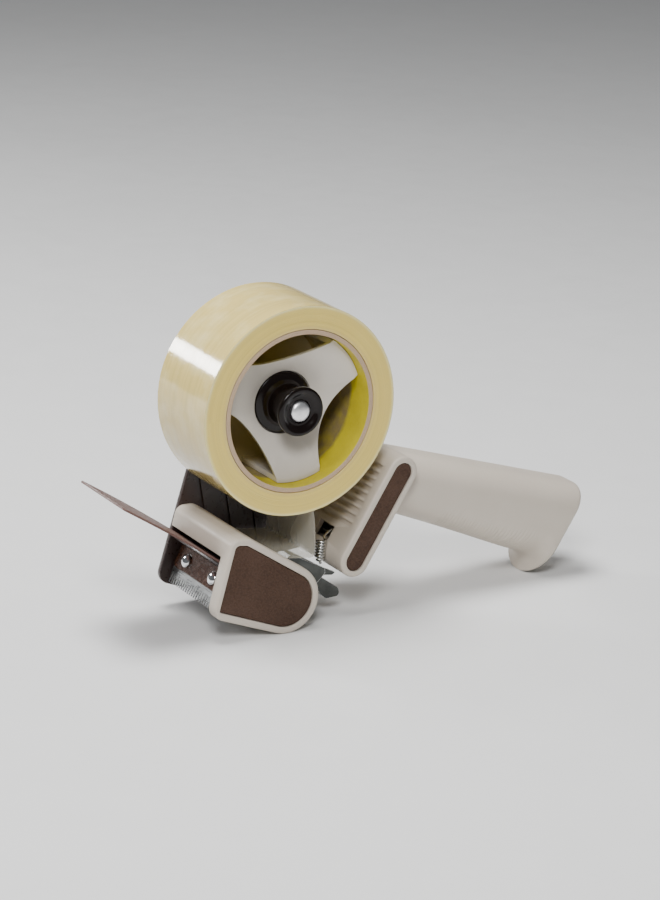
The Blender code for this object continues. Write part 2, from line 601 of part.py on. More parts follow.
def build():
    clear_scene()
    putty = plain_material("putty_plastic", (0.60, 0.56, 0.50), 0.45)
    brown = plain_material("brown_panel", (0.070, 0.037, 0.026), 0.6)
    dark = plain_material("dark_frame", (0.030, 0.018, 0.016), 0.35)
    flap = plain_material("flap_plastic", (0.155, 0.080, 0.068), 0.4)
    clamp_plastic = plain_material("clamp_plastic", (0.070, 0.026, 0.012), 0.4)
    steel = plain_material("zinc_steel", (0.55, 0.56, 0.56), 0.35, 1.0)
    chrome = plain_material("chrome", (0.85, 0.86, 0.88), 0.12, 1.0)
    rubber = plain_material("rubber", (0.03, 0.03, 0.03), 0.8)
    black = plain_material("black_plastic", (0.012, 0.010, 0.010), 0.15)
    fibre = plain_material("fibre_washer", (0.25, 0.07, 0.04), 0.8)
    cardboard = plain_material("core_cardboard", (0.46, 0.31, 0.22), 0.85)
    tape = plain_material("clear_tape", (0.75, 0.65, 0.31), 0.25)
    side_frame(dark)
    nose_housing(putty)
    nose_panel(brown)
    blade_block(dark)
    blade_group(steel, clamp_plastic, chrome)
    wiper(flap)
    guide_roller(putty, rubber, steel)
    nip_lever(steel)
    far_screws(chrome)
    handle_body(putty)
    handle_panel(brown)
    handle_back_cover(putty, chrome)
    return_spring(steel)
    tape_axle(steel)
    tape_hub(putty)
    tape_and_core(cardboard, tape)
    tape_brake(fibre, steel)
    knob(black, chrome)


build()
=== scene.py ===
"""Looks of the tape dispenser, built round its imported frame.

Lengths are in millimetres, measured as in the frame's design: x from the tape axle towards the
handle, y across the tape, z above the floor. The axle's own place comes from the frame.
"""

import json
import math
import random

import bmesh
import bpy
from mathutils import Matrix, Vector

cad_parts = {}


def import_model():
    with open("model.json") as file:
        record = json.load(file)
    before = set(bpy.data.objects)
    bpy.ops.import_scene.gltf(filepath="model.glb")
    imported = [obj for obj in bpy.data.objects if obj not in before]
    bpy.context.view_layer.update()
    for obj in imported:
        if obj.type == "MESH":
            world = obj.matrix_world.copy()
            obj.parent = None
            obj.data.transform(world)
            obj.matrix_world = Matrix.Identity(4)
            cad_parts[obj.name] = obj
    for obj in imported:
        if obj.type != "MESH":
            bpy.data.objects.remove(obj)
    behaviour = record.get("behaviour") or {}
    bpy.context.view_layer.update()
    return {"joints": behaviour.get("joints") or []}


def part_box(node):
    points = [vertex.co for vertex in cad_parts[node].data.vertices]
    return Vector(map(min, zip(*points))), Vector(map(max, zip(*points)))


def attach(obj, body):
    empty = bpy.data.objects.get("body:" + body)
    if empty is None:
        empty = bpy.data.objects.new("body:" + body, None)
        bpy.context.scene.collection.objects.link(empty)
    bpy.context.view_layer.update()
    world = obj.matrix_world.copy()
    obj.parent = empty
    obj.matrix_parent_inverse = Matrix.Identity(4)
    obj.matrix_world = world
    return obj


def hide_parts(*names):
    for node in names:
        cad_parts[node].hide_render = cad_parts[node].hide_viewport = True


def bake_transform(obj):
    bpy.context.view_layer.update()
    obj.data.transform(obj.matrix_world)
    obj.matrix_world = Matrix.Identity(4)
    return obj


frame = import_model()
MM = 0.001
PIVOTS = {joint["name"]: joint["pos_m"] for joint in frame["joints"]}
AXLE_X, AXLE_Z = (PIVOTS["hub_spin"][0] / MM, PIVOTS["hub_spin"][2] / MM)


def pivot(name):
    """A joint's place, in this script's millimetres."""
    return (PIVOTS[name][0] / MM - AXLE_X, PIVOTS[name][2] / MM)


def extent(node, axis):
    """Lowest and highest value of a frame node along one axis, in this script's millimetres."""
    low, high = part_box(node)
    shift = AXLE_X if axis == 0 else 0.0
    return low[axis] / MM - shift, high[axis] / MM - shift


AXLE = (0.0, AXLE_Z)
LEVER_PIVOT = pivot("lever_pivot")
ROLLER = pivot("roller_spin")
WIPER_ROOT = pivot("wiper_flex")
CHEEK_OUTER = extent("nose_housing", 1)[0]
FRAME_INNER, FRAME_OUTER = extent("side_frame", 1)
CHEEK_INNER = -FRAME_INNER
TAPE_HALF = extent("tape_roll", 1)[1]
ROLL_RADIUS = (extent("tape_roll", 0)[1] - extent("tape_roll", 0)[0]) / 2
CORE_BORE, CORE_OUTER = 38.1, 40.4
GAP = 0.3
SCREW_BORE = 1.8
WELD = 1e-6                      # metres

# Nose: circles (x, z, radius) that its outline wraps round
NOSE_FRONT = (-41.3, 17.5, 6.0)
NOSE_REAR = (-7.5, 17.3, 17.3)
HOOD_REAR = (-32.9, 43.2, 9.0)
HOOD_FRONT = (-35.4, 47.2, 5.0)
CHEEK = [NOSE_FRONT, NOSE_REAR, HOOD_REAR, HOOD_FRONT]
INSET = [(-43.6, 17.5, 1.5), (-7.5, 17.3, 13.9), (-32.9, 43.2, 5.6), (-35.4, 46.6, 2.6)]
HOOD_WALL = 2.5
HOOD_SCREW = (-33.2, 46.6)

# Clamp plane and blade
CLAMP_TOP = (-37.6, 32.2)
CLAMP_LEAN = math.radians(23.0)
CLAMP_DOWN = (-math.sin(CLAMP_LEAN), -math.cos(CLAMP_LEAN))
CLAMP_BACK = (math.cos(CLAMP_LEAN), -math.sin(CLAMP_LEAN))
CLAMP_SCREWS_Y = (-15.0, 12.0)
BLADE_TEETH, BLADE_PITCH, TOOTH_LENGTH, BLADE_TIP = 23, 2.1, 5.5, 19.4

# Wiper sheet
WIPER_SLOPE = math.radians(32.7)
WIPER_OUT = (-math.cos(WIPER_SLOPE), math.sin(WIPER_SLOPE))
WIPER_UP = (math.sin(WIPER_SLOPE), math.cos(WIPER_SLOPE))
WIPER_LENGTH, WIPER_TAIL, WIPER_HALF_WIDTH = 61.2, 10.5, 24.3

# Handle
COLUMN_TOP, COLUMN_BOTTOM, COLUMN_RADIUS = (59.0, 71.3), (34.0, 29.0), 8.3
COLUMN = [(*COLUMN_BOTTOM, COLUMN_RADIUS), (*COLUMN_TOP, COLUMN_RADIUS)]
WALL = 2.5
GRIP_SLOPE = math.radians(15.7)
GRIP_ALONG = (math.cos(GRIP_SLOPE), -math.sin(GRIP_SLOPE))
GRIP_UP = (math.sin(GRIP_SLOPE), math.cos(GRIP_SLOPE))
GRIP_TOP, GRIP_HALF_WIDTH, GRIP_SEAM = 91.7, 18.5, 10.0
GRIP_TOP_ROUND, GRIP_BOTTOM_ROUND, HEEL_BOTTOM_ROUND = 13.5, 15.0, 18.0
GRIP_UNDERSIDE = ((34, 50), (37, 54.6), (41, 57.8), (46, 59.5), (56, 59.5), (97, 55.1), (126, 51.5),
                  (136.5, 50.1), (140.5, 47.9), (143.0, 44.2), (144.8, 40.4))
HEEL_FROM, HEEL_TO = 118.0, 138.0
HEEL_ROUND, BUTT_LEAN = 3.2, 0.276
LEAN_FROM, LEAN_OVER, LEAN_HEIGHT = 110.0, 35.0, 47.0
SPRING_SLOT = (-7.6, 5.8)


# ---------------------------------------------------------------- mesh helpers

def world(x, y, z):
    return (MM * (AXLE_X + x), MM * y, MM * z)


def new_object(name, points, faces, weld=0.0):
    """Object from points in metres, its faces turned outwards and points closer than weld joined."""
    mesh = bpy.data.meshes.new(name)
    mesh.from_pydata(points, [], faces)
    shape = bmesh.new()
    shape.from_mesh(mesh)
    if weld:
        bmesh.ops.remove_doubles(shape, verts=shape.verts, dist=weld)
    bmesh.ops.recalc_face_normals(shape, faces=shape.faces)
    shape.to_mesh(mesh)
    shape.free()
    obj = bpy.data.objects.new(name, mesh)
    bpy.context.scene.collection.objects.link(obj)
    return obj


def mesh_object(name, points, faces):
    return new_object(name, [world(*point) for point in points], faces, WELD)


def loft(name, rings):
    """A closed skin over a row of rings with equal point counts, flat at both ends."""
    count = len(rings[0])
    points = [point for ring in rings for point in ring]
    faces = [tuple(range(count)), tuple(range(len(points) - count, len(points)))]
    for ring in range(len(rings) - 1):
        base = ring * count
        for i in range(count):
            j = (i + 1) % count
            faces.append((base + i, base + j, base + count + j, base + count + i))
    return mesh_object(name, points, faces)


def prism(name, outline, y_from, y_to):
    return loft(name, [[(x, y, z) for x, z in outline] for y in (y_from, y_to)])


def turned(name, profile, centre, steps=96, closed=True):
    """A profile of (radius, y) points, turned about the line along Y through centre."""
    points, faces = [], []
    count = len(profile)
    for step in range(steps):
        angle = 2 * math.pi * step / steps
        for radius, y in profile:
            points.append((centre[0] + radius * math.cos(angle), y, centre[1] + radius * math.sin(angle)))
    for step in range(steps):
        here, there = step * count, (step + 1) % steps * count
        for i in range(count if closed else count - 1):
            j = (i + 1) % count
            faces.append((here + i, here + j, there + j, there + i))
    return mesh_object(name, points, faces)


def round_corners(outline, radius, steps=3, closed=True):
    """The outline with each corner replaced by a short arc."""
    made = []
    for i, corner in enumerate(outline):
        if not closed and i in (0, len(outline) - 1):
            made.append(corner)
            continue
        here = Vector(corner)
        to_last, to_next = Vector(outline[i - 1]) - here, Vector(outline[(i + 1) % len(outline)]) - here
        reach = min(radius, 0.45 * to_last.length, 0.45 * to_next.length)
        start, end = here + to_last.normalized() * reach, here + to_next.normalized() * reach
        for step in range(steps + 1):
            t = step / steps
            made.append(tuple((1 - t) ** 2 * start + 2 * t * (1 - t) * here + t**2 * end))
    return made


def ring(name, centre, inner, outer, y_from, y_to, edge=0.3, steps=72):
    profile = round_corners([(inner, y_from), (outer, y_from), (outer, y_to), (inner, y_to)], edge)
    return turned(name, profile, centre, steps)


def bar(name, centre, radius, y_from, y_to, edge=0.3, steps=40):
    profile = round_corners([(0, y_from), (radius, y_from), (radius, y_to), (0, y_to)], edge, 3, False)
    return turned(name, profile, centre, steps, False)


def swept(name, route, radius, sides=10):
    """A round bar along a route of (x, y, z) points."""
    rings = []
    normal = Vector((0.3, 1.0, 0.2))
    for i, point in enumerate(route):
        before, after = Vector(route[max(i - 1, 0)]), Vector(route[min(i + 1, len(route) - 1)])
        along = (after - before).normalized()
        normal = (normal - normal.dot(along) * along).normalized()
        other = along.cross(normal)
        angles = [2 * math.pi * side / sides for side in range(sides)]
        rings.append([tuple(Vector(point) + radius * (math.cos(a) * normal + math.sin(a) * other))
                      for a in angles])
    return loft(name, rings)


def wrap(circles, steps_per_turn=96):
    """Outline that runs anticlockwise round circles (x, z, radius), with straight lines between them.

    A negative radius is a hollow corner, passed on its other side.
    """
    turns = []
    for i, (x, z, radius) in enumerate(circles):
        next_x, next_z, next_radius = circles[(i + 1) % len(circles)]
        distance = math.hypot(next_x - x, next_z - z)
        heading = math.atan2(next_z - z, next_x - x)
        turns.append(heading - math.acos((radius - next_radius) / distance))
    outline = []
    for i, (x, z, radius) in enumerate(circles):
        start, end = turns[i - 1], turns[i]
        sweep = (end - start) % (2 * math.pi) if radius > 0 else -((start - end) % (2 * math.pi))
        steps = max(2, math.ceil(abs(sweep) / (2 * math.pi) * steps_per_turn - 0.01))
        for step in range(steps + 1):
            angle = start + sweep * step / steps
            outline.append((x + radius * math.cos(angle), z + radius * math.sin(angle)))
    return outline


def shrink(circles, by):
    return [(x, z, radius - by) for x, z, radius in circles]


def cushioned(name, circles, y_from, y_to, near_edge=0.0, far_edge=0.0, steps=4):
    """Extrusion of a wrapped outline whose rims are rounded to the given radii."""
    rows = []
    for step in range(steps + 1):
        angle = math.radians(90.0 * step / steps)
        rows.append((y_from + near_edge * (1 - math.sin(angle)), near_edge * (1 - math.cos(angle))))
    rows = rows[::-1] if near_edge else [(y_from, 0.0)]
    if far_edge:
        for step in range(steps + 1):
            angle = math.radians(90.0 * step / steps)
            rows.append((y_to - far_edge * (1 - math.sin(angle)), far_edge * (1 - math.cos(angle))))
    else:
        rows.append((y_to, 0.0))
    return loft(name, [[(x, y, z) for x, z in wrap(shrink(circles, inset))] for y, inset in rows])


def arc(circle, start, end, steps):
    x, z, radius = circle
    angles = [math.radians(start + (end - start) * step / steps) for step in range(steps + 1)]
    return [(x + radius * math.cos(a), z + radius * math.sin(a)) for a in angles]


def leaning(origin, along, out, points):
    return [(origin[0] + s * along[0] + t * out[0], origin[1] + s * along[1] + t * out[1])
            for s, t in points]


def on_clamp(points):
    return leaning(CLAMP_TOP, CLAMP_DOWN, CLAMP_BACK, points)


def on_wiper(points):
    return leaning(WIPER_ROOT, WIPER_OUT, WIPER_UP, points)


def on_grip(points):
    return leaning((0, 0), GRIP_ALONG, GRIP_UP, points)


def apply_modifier(obj, kind, **settings):
    modifier = obj.modifiers.new(kind.lower(), kind)
    for key, value in settings.items():
        setattr(modifier, key, value)
    graph = bpy.context.evaluated_depsgraph_get()
    mesh = bpy.data.meshes.new_from_object(obj.evaluated_get(graph))
    obj.modifiers.clear()
    obj.data = mesh


def combine(obj, tool, operation):
    apply_modifier(obj, "BOOLEAN", operation=operation, solver="EXACT", object=tool)
    bpy.data.objects.remove(tool)
    shape = bmesh.new()
    shape.from_mesh(obj.data)
    bmesh.ops.remove_doubles(shape, verts=shape.verts, dist=0.001 * MM)
    bmesh.ops.dissolve_degenerate(shape, edges=shape.edges, dist=0.0001 * MM)
    shape.to_mesh(obj.data)
    shape.free()


def cut(obj, tool):
    combine(obj, tool, "DIFFERENCE")


def join(obj, tool):
    combine(obj, tool, "UNION")


def soften(obj, width, segments=2, angle=40.0):
    """Rounds the edges that are sharper than angle, as a moulding or a deburred part has them."""
    apply_modifier(obj, "BEVEL", width=width * MM, segments=segments, limit_method="ANGLE",
                   angle_limit=math.radians(angle), miter_outer="MITER_ARC", harden_normals=False)


def bored_boss(obj, centre, radius, boss_from, boss_to, bore, bore_from, bore_to):
    join(obj, bar("boss", centre, radius, boss_from, boss_to, steps=48))
    cut(obj, bar("bore", centre, bore, bore_from, bore_to, steps=36))


def place(obj, body, paint, look, nodes=(), slot=None, sharp=32.0):
    """Shades a finished piece and hangs it on its body, in place of the frame nodes that it stands for.

    Its slot argument is not used.
    """
    slot = slot or look
    obj.data.materials.clear()
    obj.data.materials.append(paint[look])
    obj.data.shade_smooth()
    obj.data.set_sharp_from_angle(angle=math.radians(sharp))
    if body:
        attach(obj, body)
    if nodes:
        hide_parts(*nodes)
    return obj


# ---------------------------------------------------------------- screws and springs

def cross_recess(name, head_radius, depth):
    """Four-winged tool that cuts a cross recess into a screw head lying along Z at the origin."""
    arm, half = 0.62 * head_radius, 0.13 * head_radius
    outline = []
    for quarter in range(4):
        turn = math.radians(90 * quarter)
        for x, y in ((half, -half), (arm, -half), (arm, half), (half, half))[1:]:
            outline.append((x * math.cos(turn) - y * math.sin(turn), x * math.sin(turn) + y * math.cos(turn)))
    bottom = [(0.45 * x, 0.45 * y) if math.hypot(x, y) > 0.5 * head_radius else (x, y) for x, y in outline]
    points = [(x, y, 1.0) for x, y in outline] + [(x, y, -depth) for x, y in bottom]
    count = len(outline)
    faces = [tuple(range(count)), tuple(range(count, 2 * count))]
    faces += [(i, (i + 1) % count, count + (i + 1) % count, count + i) for i in range(count)]
    return new_object(name, [(MM * x, MM * y, MM * z) for x, y, z in points], faces)


def cross_screw(name, seat, outwards, head_radius, shank_radius, length, height=1.9, turn=20.0):
    """Pan-head screw with a cross recess. seat is the middle of the head's underside."""
    steps = 40
    dome = [(0, height)]
    for step in range(1, 9):
        angle = math.radians(90 * step / 8)
        dome.append((head_radius * math.sin(angle) ** 0.8, 0.35 + (height - 0.35) * math.cos(angle)))
    profile = [*dome, (head_radius, 0.12), (head_radius - 0.15, 0), (shank_radius, 0)]
    thread = 0.18
    at = -0.6
    while at > -length + 0.9:
        profile += [(shank_radius - thread, at), (shank_radius, at - 0.3)]
        at -= 0.6
    profile += [(shank_radius - thread, -length + 0.4), (0, -length)]
    rings = []
    angles = [2 * math.pi * i / steps for i in range(steps)]
    for radius, z in profile[1:-1]:
        rings.append([(radius * math.cos(a), radius * math.sin(a), z) for a in angles])
    points = [(MM * x, MM * y, MM * z) for row in rings for x, y, z in row]
    points += [(0, 0, MM * profile[0][1]), (0, 0, MM * profile[-1][1])]
    top, tip = len(points) - 2, len(points) - 1
    faces = []
    for i in range(steps):
        j = (i + 1) % steps
        faces.append((top, i, j))
        last = (len(rings) - 1) * steps
        faces.append((tip, last + j, last + i))
        for row in range(len(rings) - 1):
            base = row * steps
            faces.append((base + i, base + steps + i, base + steps + j, base + j))
    screw = new_object(name, points, faces)
    tool = cross_recess("recess", head_radius, 0.2)
    tool.data.transform(Matrix.Rotation(math.radians(turn), 4, "Z") @ Matrix.Translation((0, 0, MM * 0.8)))
    cut(screw, tool)
    direction = Vector(outwards).normalized()
    place_at = Matrix.Translation(world(*seat))
    screw.data.transform(place_at @ direction.to_track_quat("Z", "Y").to_matrix().to_4x4())
    return screw


def coil(start, end, radius, turns, steps_per_turn=16, phase=0.0):
    """Points of a helix round the straight line from start to end."""
    start, end = Vector(start), Vector(end)
    along = (end - start).normalized()
    across = along.cross(Vector((0, 1, 0.3))).normalized()
    other = along.cross(across)
    count = int(turns * steps_per_turn)
    route = []
    for step in range(count + 1):
        angle = phase + 2 * math.pi * step / steps_per_turn
        middle = start.lerp(end, step / count)
        route.append(tuple(middle + radius * (math.cos(angle) * across + math.sin(angle) * other)))
    return route


# ---------------------------------------------------------------- frame and nose

def side_frame(paint):
    """Flat plate on the far side, with its four milled relief grooves and its holes."""
    boss = (*AXLE, 21.4)
    behind_column = [(*COLUMN_BOTTOM, COLUMN_RADIUS + 0.4), (*COLUMN_TOP, COLUMN_RADIUS + 1.5)]
    hollow_corner = (14.6, 14.1, -4.5)
    outline = [NOSE_FRONT, NOSE_REAR, hollow_corner, *behind_column, boss]
    plate = cushioned("frame_plate", outline, FRAME_INNER, FRAME_OUTER, 0.3, 0.7, 3)
    groove_x, groove_pitch, half_groove, groove_depth = -27.8, 15.2, 1.3, 1.0
    lean = math.radians(10.4)
    down, out = (math.sin(lean), -math.cos(lean)), (math.cos(lean), math.sin(lean))
    for i in range(4):
        middle = (groove_x + i * groove_pitch, 64.0 - 9.5 * i)
        upper, lower = leaning(middle, down, out, [(-21, 0), (18, 0)])
        slot = wrap([(*lower, half_groove), (*upper, half_groove)], 24)
        cut(plate, prism("groove", slot, FRAME_INNER - 1, FRAME_INNER + groove_depth))
    screws = [(centre, SCREW_BORE) for centre in (HOOD_SCREW, BLOCK_SCREW, COLUMN_TOP, COLUMN_BOTTOM)]
    for centre, radius in ((AXLE, 6.3), *screws, (ROLLER, 1.8), (LEVER_PIVOT, 1.9)):
        cut(plate, bar("hole", centre, radius, FRAME_INNER - 1, FRAME_OUTER + 1))
    place(plate, "root", paint, "frame_enamel", ["side_frame"])


BLOCK_SCREW = on_clamp([(6.0, 8.5)])[0]


def nose_housing(paint):
    """Near cheek and the rounded hood across the tape, moulded in one."""
    nose = cushioned("nose_shell", CHEEK, CHEEK_OUTER, FRAME_INNER - GAP, 1.3, 0.0)
    back_edge, lip, outside = 4.4, 6.2, 4.0
    back_angle, front_angle = 55.2, 167.0
    roof = [*arc(shrink([HOOD_FRONT], HOOD_WALL)[0], front_angle, 90, 12),
            *arc(shrink([HOOD_REAR], HOOD_WALL)[0], 90, back_angle, 8)]
    front = (math.cos(math.radians(front_angle)), math.sin(math.radians(front_angle)))
    back = (math.cos(math.radians(back_angle)), math.sin(math.radians(back_angle)))
    front_lip = leaning(roof[0], (-front[1], front[0]), front, [(lip, HOOD_WALL + outside), (lip, 0)])
    back_lip = leaning(roof[-1], (back[1], -back[0]), back,
                       [(back_edge, 0), (back_edge, HOOD_WALL + outside)])
    under_hood = [*front_lip, *roof, *back_lip, (25, 30), (25, -10), (-60, -10), (-60, 30)]
    cut(nose, prism("under hood", under_hood, CHEEK_INNER, FRAME_INNER + 1))
    recess, panel = 0.6, 1.4
    cut(nose, prism("inset", wrap(INSET), CHEEK_OUTER - 1, CHEEK_OUTER + recess + panel + GAP))
    cut(nose, prism("hollow", wrap(shrink([NOSE_FRONT, NOSE_REAR, (-29.0, 38.0, 5.5)], 3.0)),
                    CHEEK_INNER - 2.6, CHEEK_INNER + 1))
    for centre, radius, bore in ((LEVER_PIVOT, 4.5, 1.6), (ROLLER, 4.0, 1.5)):
        bored_boss(nose, centre, radius, CHEEK_INNER - 3.2, CHEEK_INNER - 0.2,
                   bore + GAP, CHEEK_INNER - 2.9, CHEEK_INNER + 1)
    bored_boss(nose, HOOD_SCREW, 3.9, 14.0, FRAME_INNER - 0.6, SCREW_BORE, 15.0, FRAME_INNER + 1)
    soften(nose, 0.3)
    place(nose, "root", paint, "putty_plastic", ["nose_housing"])
    inset = cushioned("nose_inset", shrink(INSET, GAP), CHEEK_OUTER + recess,
                      CHEEK_OUTER + recess + panel, 0.45)
    place(inset, "root", paint, "brown_panel", ["nose_panel"])


def blade_block(paint):
    front = on_clamp([(-2.2, 2.6), (13.0, 2.6), (13.0, 4.4), (9.5, 11.0),
                                                        (2.5, 11.6)])
    shelf = on_wiper([(-10.5, -3.4), (-10.5, -0.8), (-2.6, -0.8), (-2.6, -2.6)])
    block = prism("block_body", front + shelf, CHEEK_INNER + GAP, FRAME_INNER - GAP)
    cut(block, bar("bore", BLOCK_SCREW, SCREW_BORE, 15.0, FRAME_INNER + 1))
    for y in CLAMP_SCREWS_Y:
        cut(block, clamp_hole(y, 2.0, 9.6))
    soften(block, 0.3)
    place(block, "root", paint, "frame_enamel", ["blade_block"])


def clamp_hole(y, t_from, t_to, radius=1.8, steps=28):
    rings = []
    for t in (t_from, t_to):
        loop = []
        for step in range(steps):
            angle = 2 * math.pi * step / steps
            x, z = on_clamp([(5.2 + radius * math.cos(angle), t)])[0]
            loop.append((x, y + radius * math.sin(angle), z))
        rings.append(loop)
    return loft("hole", rings)


def clamp_slab(name, rows):
    """Rows of (outline, depth): outlines of (y, distance down the clamp) joined front to back."""
    rings = []
    for outline, t in rows:
        row = on_clamp([(s, t) for _, s in outline])
        rings.append([(x, y, z) for (x, z), (y, _) in zip(row, outline)])
    return loft(name, rings)


def rounded_plate(near, far, top, bottom, radius):
    return round_corners([(near, top), (far, top), (far, bottom), (near, bottom)], radius, 5)


def blade_group(paint):
    near, far = CHEEK_INNER + 0.6, 22.4
    edge = 0.5
    full = rounded_plate(near, far, -1.2, 11.0, 1.4)
    crown = rounded_plate(near + edge, far - edge, -0.7, 10.5, 1.4)
    clamp = clamp_slab("clamp_plate", [(crown, 0.0), (full, edge), (full, 1.3)])
    half = BLADE_TEETH * BLADE_PITCH / 2
    root = BLADE_TIP - TOOTH_LENGTH
    outline, ground = [(-half, 1.0), (half, 1.0)], [(-half, 1.0), (half, 1.0)]
    for i in range(BLADE_TEETH):
        start = half - i * BLADE_PITCH
        valley = 0.07 * BLADE_PITCH
        for row, tip_half, tip in ((outline, 0.14, BLADE_TIP - 0.15), (ground, 0.03, BLADE_TIP)):
            row += [(start - valley, root), (start - (0.5 - tip_half) * BLADE_PITCH, tip),
                    (start - (0.5 + tip_half) * BLADE_PITCH, tip), (start - BLADE_PITCH + valley, root)]
    blade = clamp_slab("cutter_blade", [(outline, 1.6), (ground, 2.2)])
    for number, y in enumerate(CLAMP_SCREWS_Y, 1):
        for piece in (clamp, blade):
            cut(piece, clamp_hole(y, -1.0, 3.0))
        seat = on_clamp([(5.2, -0.3)])[0]
        outwards = (-CLAMP_BACK[0], 0, -CLAMP_BACK[1])
        screw = cross_screw(f"clamp_screw_{number}", (seat[0], y, seat[1]), outwards,
                            3.4, 1.5, 8.8, 2.1, 35.0 + 40.0 * number)
        place(screw, "root", paint, "chrome", [f"blade_screw_{number}"], sharp=40)
    place(clamp, "root", paint, "clamp_plastic", ["blade_clamp"])
    soften(blade, 0.05, 1)
    place(blade, "root", paint, "blade_steel", ["blade"], "zinc_steel")


def wiper(paint):
    """One springy sheet: held under the hood, it runs out past the lip with a slight bow along its free
    length.
    """
    half, corner = 0.5, 3.0
    distances = [-WIPER_TAIL + i * 1.5 for i in range(48)]
    distances = [s for s in distances if s < WIPER_LENGTH - corner]
    distances += [WIPER_LENGTH - corner * (1 - math.sin(math.radians(a)))
                  for a in (0, 15, 30, 45, 60, 75, 88)]
    bow = 0.5
    rings = []
    for s in distances:
        into = max(0.0, s - (WIPER_LENGTH - corner))
        trim = corner - math.sqrt(max(0.0, corner**2 - into**2))
        across = WIPER_HALF_WIDTH - trim
        free = max(0.0, min(1.0, s / WIPER_LENGTH))
        lift = bow * math.sin(math.pi * free)
        edge = 0.3
        section = [(-across, -half + edge), (-across + edge, -half),
                   (across - edge, -half), (across, -half + edge),
                   (across, half - edge), (across - edge, half),
                   (-across + edge, half), (-across, half - edge)]
        loop = []
        for y, t in section:
            x, z = on_wiper([(s, t + lift)])[0]
            loop.append((x, y, z))
        rings.append(loop)
    sheet = loft("wiper_sheet", rings)
    place(sheet, None, paint, "wiper_plastic", ["wiper_root", "wiper_flap"])
    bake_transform(sheet)


def guide_roller(paint):
    half = extent("guide_roller", 1)[1]
    reach = (ROLLER_RADIUS, 4.8)
    pin = bar("roller_pin", ROLLER, 1.5, CHEEK_INNER - 2.6, FRAME_OUTER - 0.4, 0.35)
    place(pin, "root", paint, "zinc_steel", ["roller_axle"])
    core = ring("roller_core", ROLLER, 1.8, 4.5, -half, half, 0.4)
    place(core, "roller", paint, "putty_plastic", ["guide_roller"])
    bands = 24
    pitch = 2 * half / bands
    profile = [(reach[1], -half)]
    for i in range(bands):
        start = -half + i * pitch
        profile += [(reach[0] - 0.25, start + 0.08 * pitch), (reach[0], start + 0.25 * pitch),
                    (reach[0], start + 0.75 * pitch), (reach[0] - 0.25, start + 0.92 * pitch)]
    profile.append((reach[1], half))
    sleeve = turned("ribbed_sleeve", profile, ROLLER, 72)
    place(sleeve, "roller", paint, "rubber", ["roller_sleeve"])


ROLLER_RADIUS = 6.5


def nip_lever(paint):
    near, far, thickness = -20.0, 20.0, 1.6
    finger_at = (-20.6, 40.9)
    arm = wrap([(*LEVER_PIVOT, 3.6), (*finger_at, 1.8)], 40)
    lever = prism("lever_plate", arm, near, near + thickness)
    tail = [(*LEVER_PIVOT, 4.0), (10.0, 19.0, 4.0), (17.5, 24.2, 2.5), (1.5, 31.2, 3.4)]
    join(lever, prism("tail", wrap(tail, 40), near - 0.1, near + thickness - 0.1))
    join(lever, prism("far arm", arm, far - thickness, far))
    join(lever, bar("sleeve", LEVER_PIVOT, 3.3, near + 0.4, far - 0.4))
    join(lever, bar("finger", finger_at, 1.6, near + 0.4, far - 0.4))
    for length, y_from, y_to in ((14.5, near, -15.2), (18.0, -15.2, -7.6)):
        flange = leaning((6.0, 33.0), (0.862, -0.507), (0.507, 0.862),
                         [(-2.0, -1.6), (length, -1.6), (length, 0), (-2.0, 0)])
        join(lever, prism("flange", flange, y_from, y_to))
    fork = [(16.0, 26.2), (16.0, 17.0), (21.5, 9.6), (24.2, 7.4), (31.0, 7.8), (32.0, 9.8), (31.0, 12.4),
            (21.2, 19.2), (21.2, 20.2), (27.4, 19.4), (29.0, 20.8), (24.6, 22.8), (20.6, 24.6)]
    join(lever, prism("fork", round_corners(fork, 0.9, 3), -14.8, -13.2))
    cut(lever, bar("bore", LEVER_PIVOT, 1.9, near - 1, far + 1))
    soften(lever, 0.18, 2)
    place(lever, "lever", paint, "lever_steel", ["nip_lever"], "zinc_steel")
    pin = bar("pivot_pin", LEVER_PIVOT, 1.6, CHEEK_INNER - 2.6, FRAME_OUTER - 0.4, 0.35)
    place(pin, "root", paint, "zinc_steel", ["lever_pin"])


def far_screws(paint):
    turns = {"hood_screw": (HOOD_SCREW, 12.0), "block_screw": (BLOCK_SCREW, 50.0),
             "column_screw_1": (COLUMN_TOP, 71.0), "column_screw_2": (COLUMN_BOTTOM, 33.0)}
    for node, (centre, turn) in turns.items():
        tip = extent(node, 1)[0]
        seat = FRAME_OUTER + GAP
        screw = cross_screw(f"{node}_cross", (centre[0], seat, centre[1]), (0, 1, 0), 3.2, 1.5,
                            seat - tip, 2.0, turn)
        place(screw, "root", paint, "chrome", [node], sharp=40)


# ---------------------------------------------------------------- handle

COVER_SCREWS = [on_grip([place])[0] for place in ((62.0, 75.5), (128.0, 71.5))]
RIBS_FROM, RIBS_TO, RIB_PITCH, RIB_DEPTH = 72.0, 133.0, 2.0, 0.45


def smooth_underside(t):
    """Height of the grip's underside at distance t, as a smooth curve through its stations."""
    stations = GRIP_UNDERSIDE
    index = max(i for i in range(len(stations) - 1) if stations[i][0] <= t or i == 0)
    here, there = stations[index], stations[index + 1]
    before, after = stations[max(index - 1, 0)], stations[min(index + 2, len(stations) - 1)]
    slope_here = (there[1] - before[1]) / (there[0] - before[0])
    slope_there = (after[1] - here[1]) / (after[0] - here[0])
    span = there[0] - here[0]
    u = min(1.0, (t - here[0]) / span)
    return ((2 * u**3 - 3 * u**2 + 1) * here[1] + (u**3 - 2 * u**2 + u) * span * slope_here
            + (3 * u**2 - 2 * u**3) * there[1] + (u**3 - u**2) * span * slope_there)


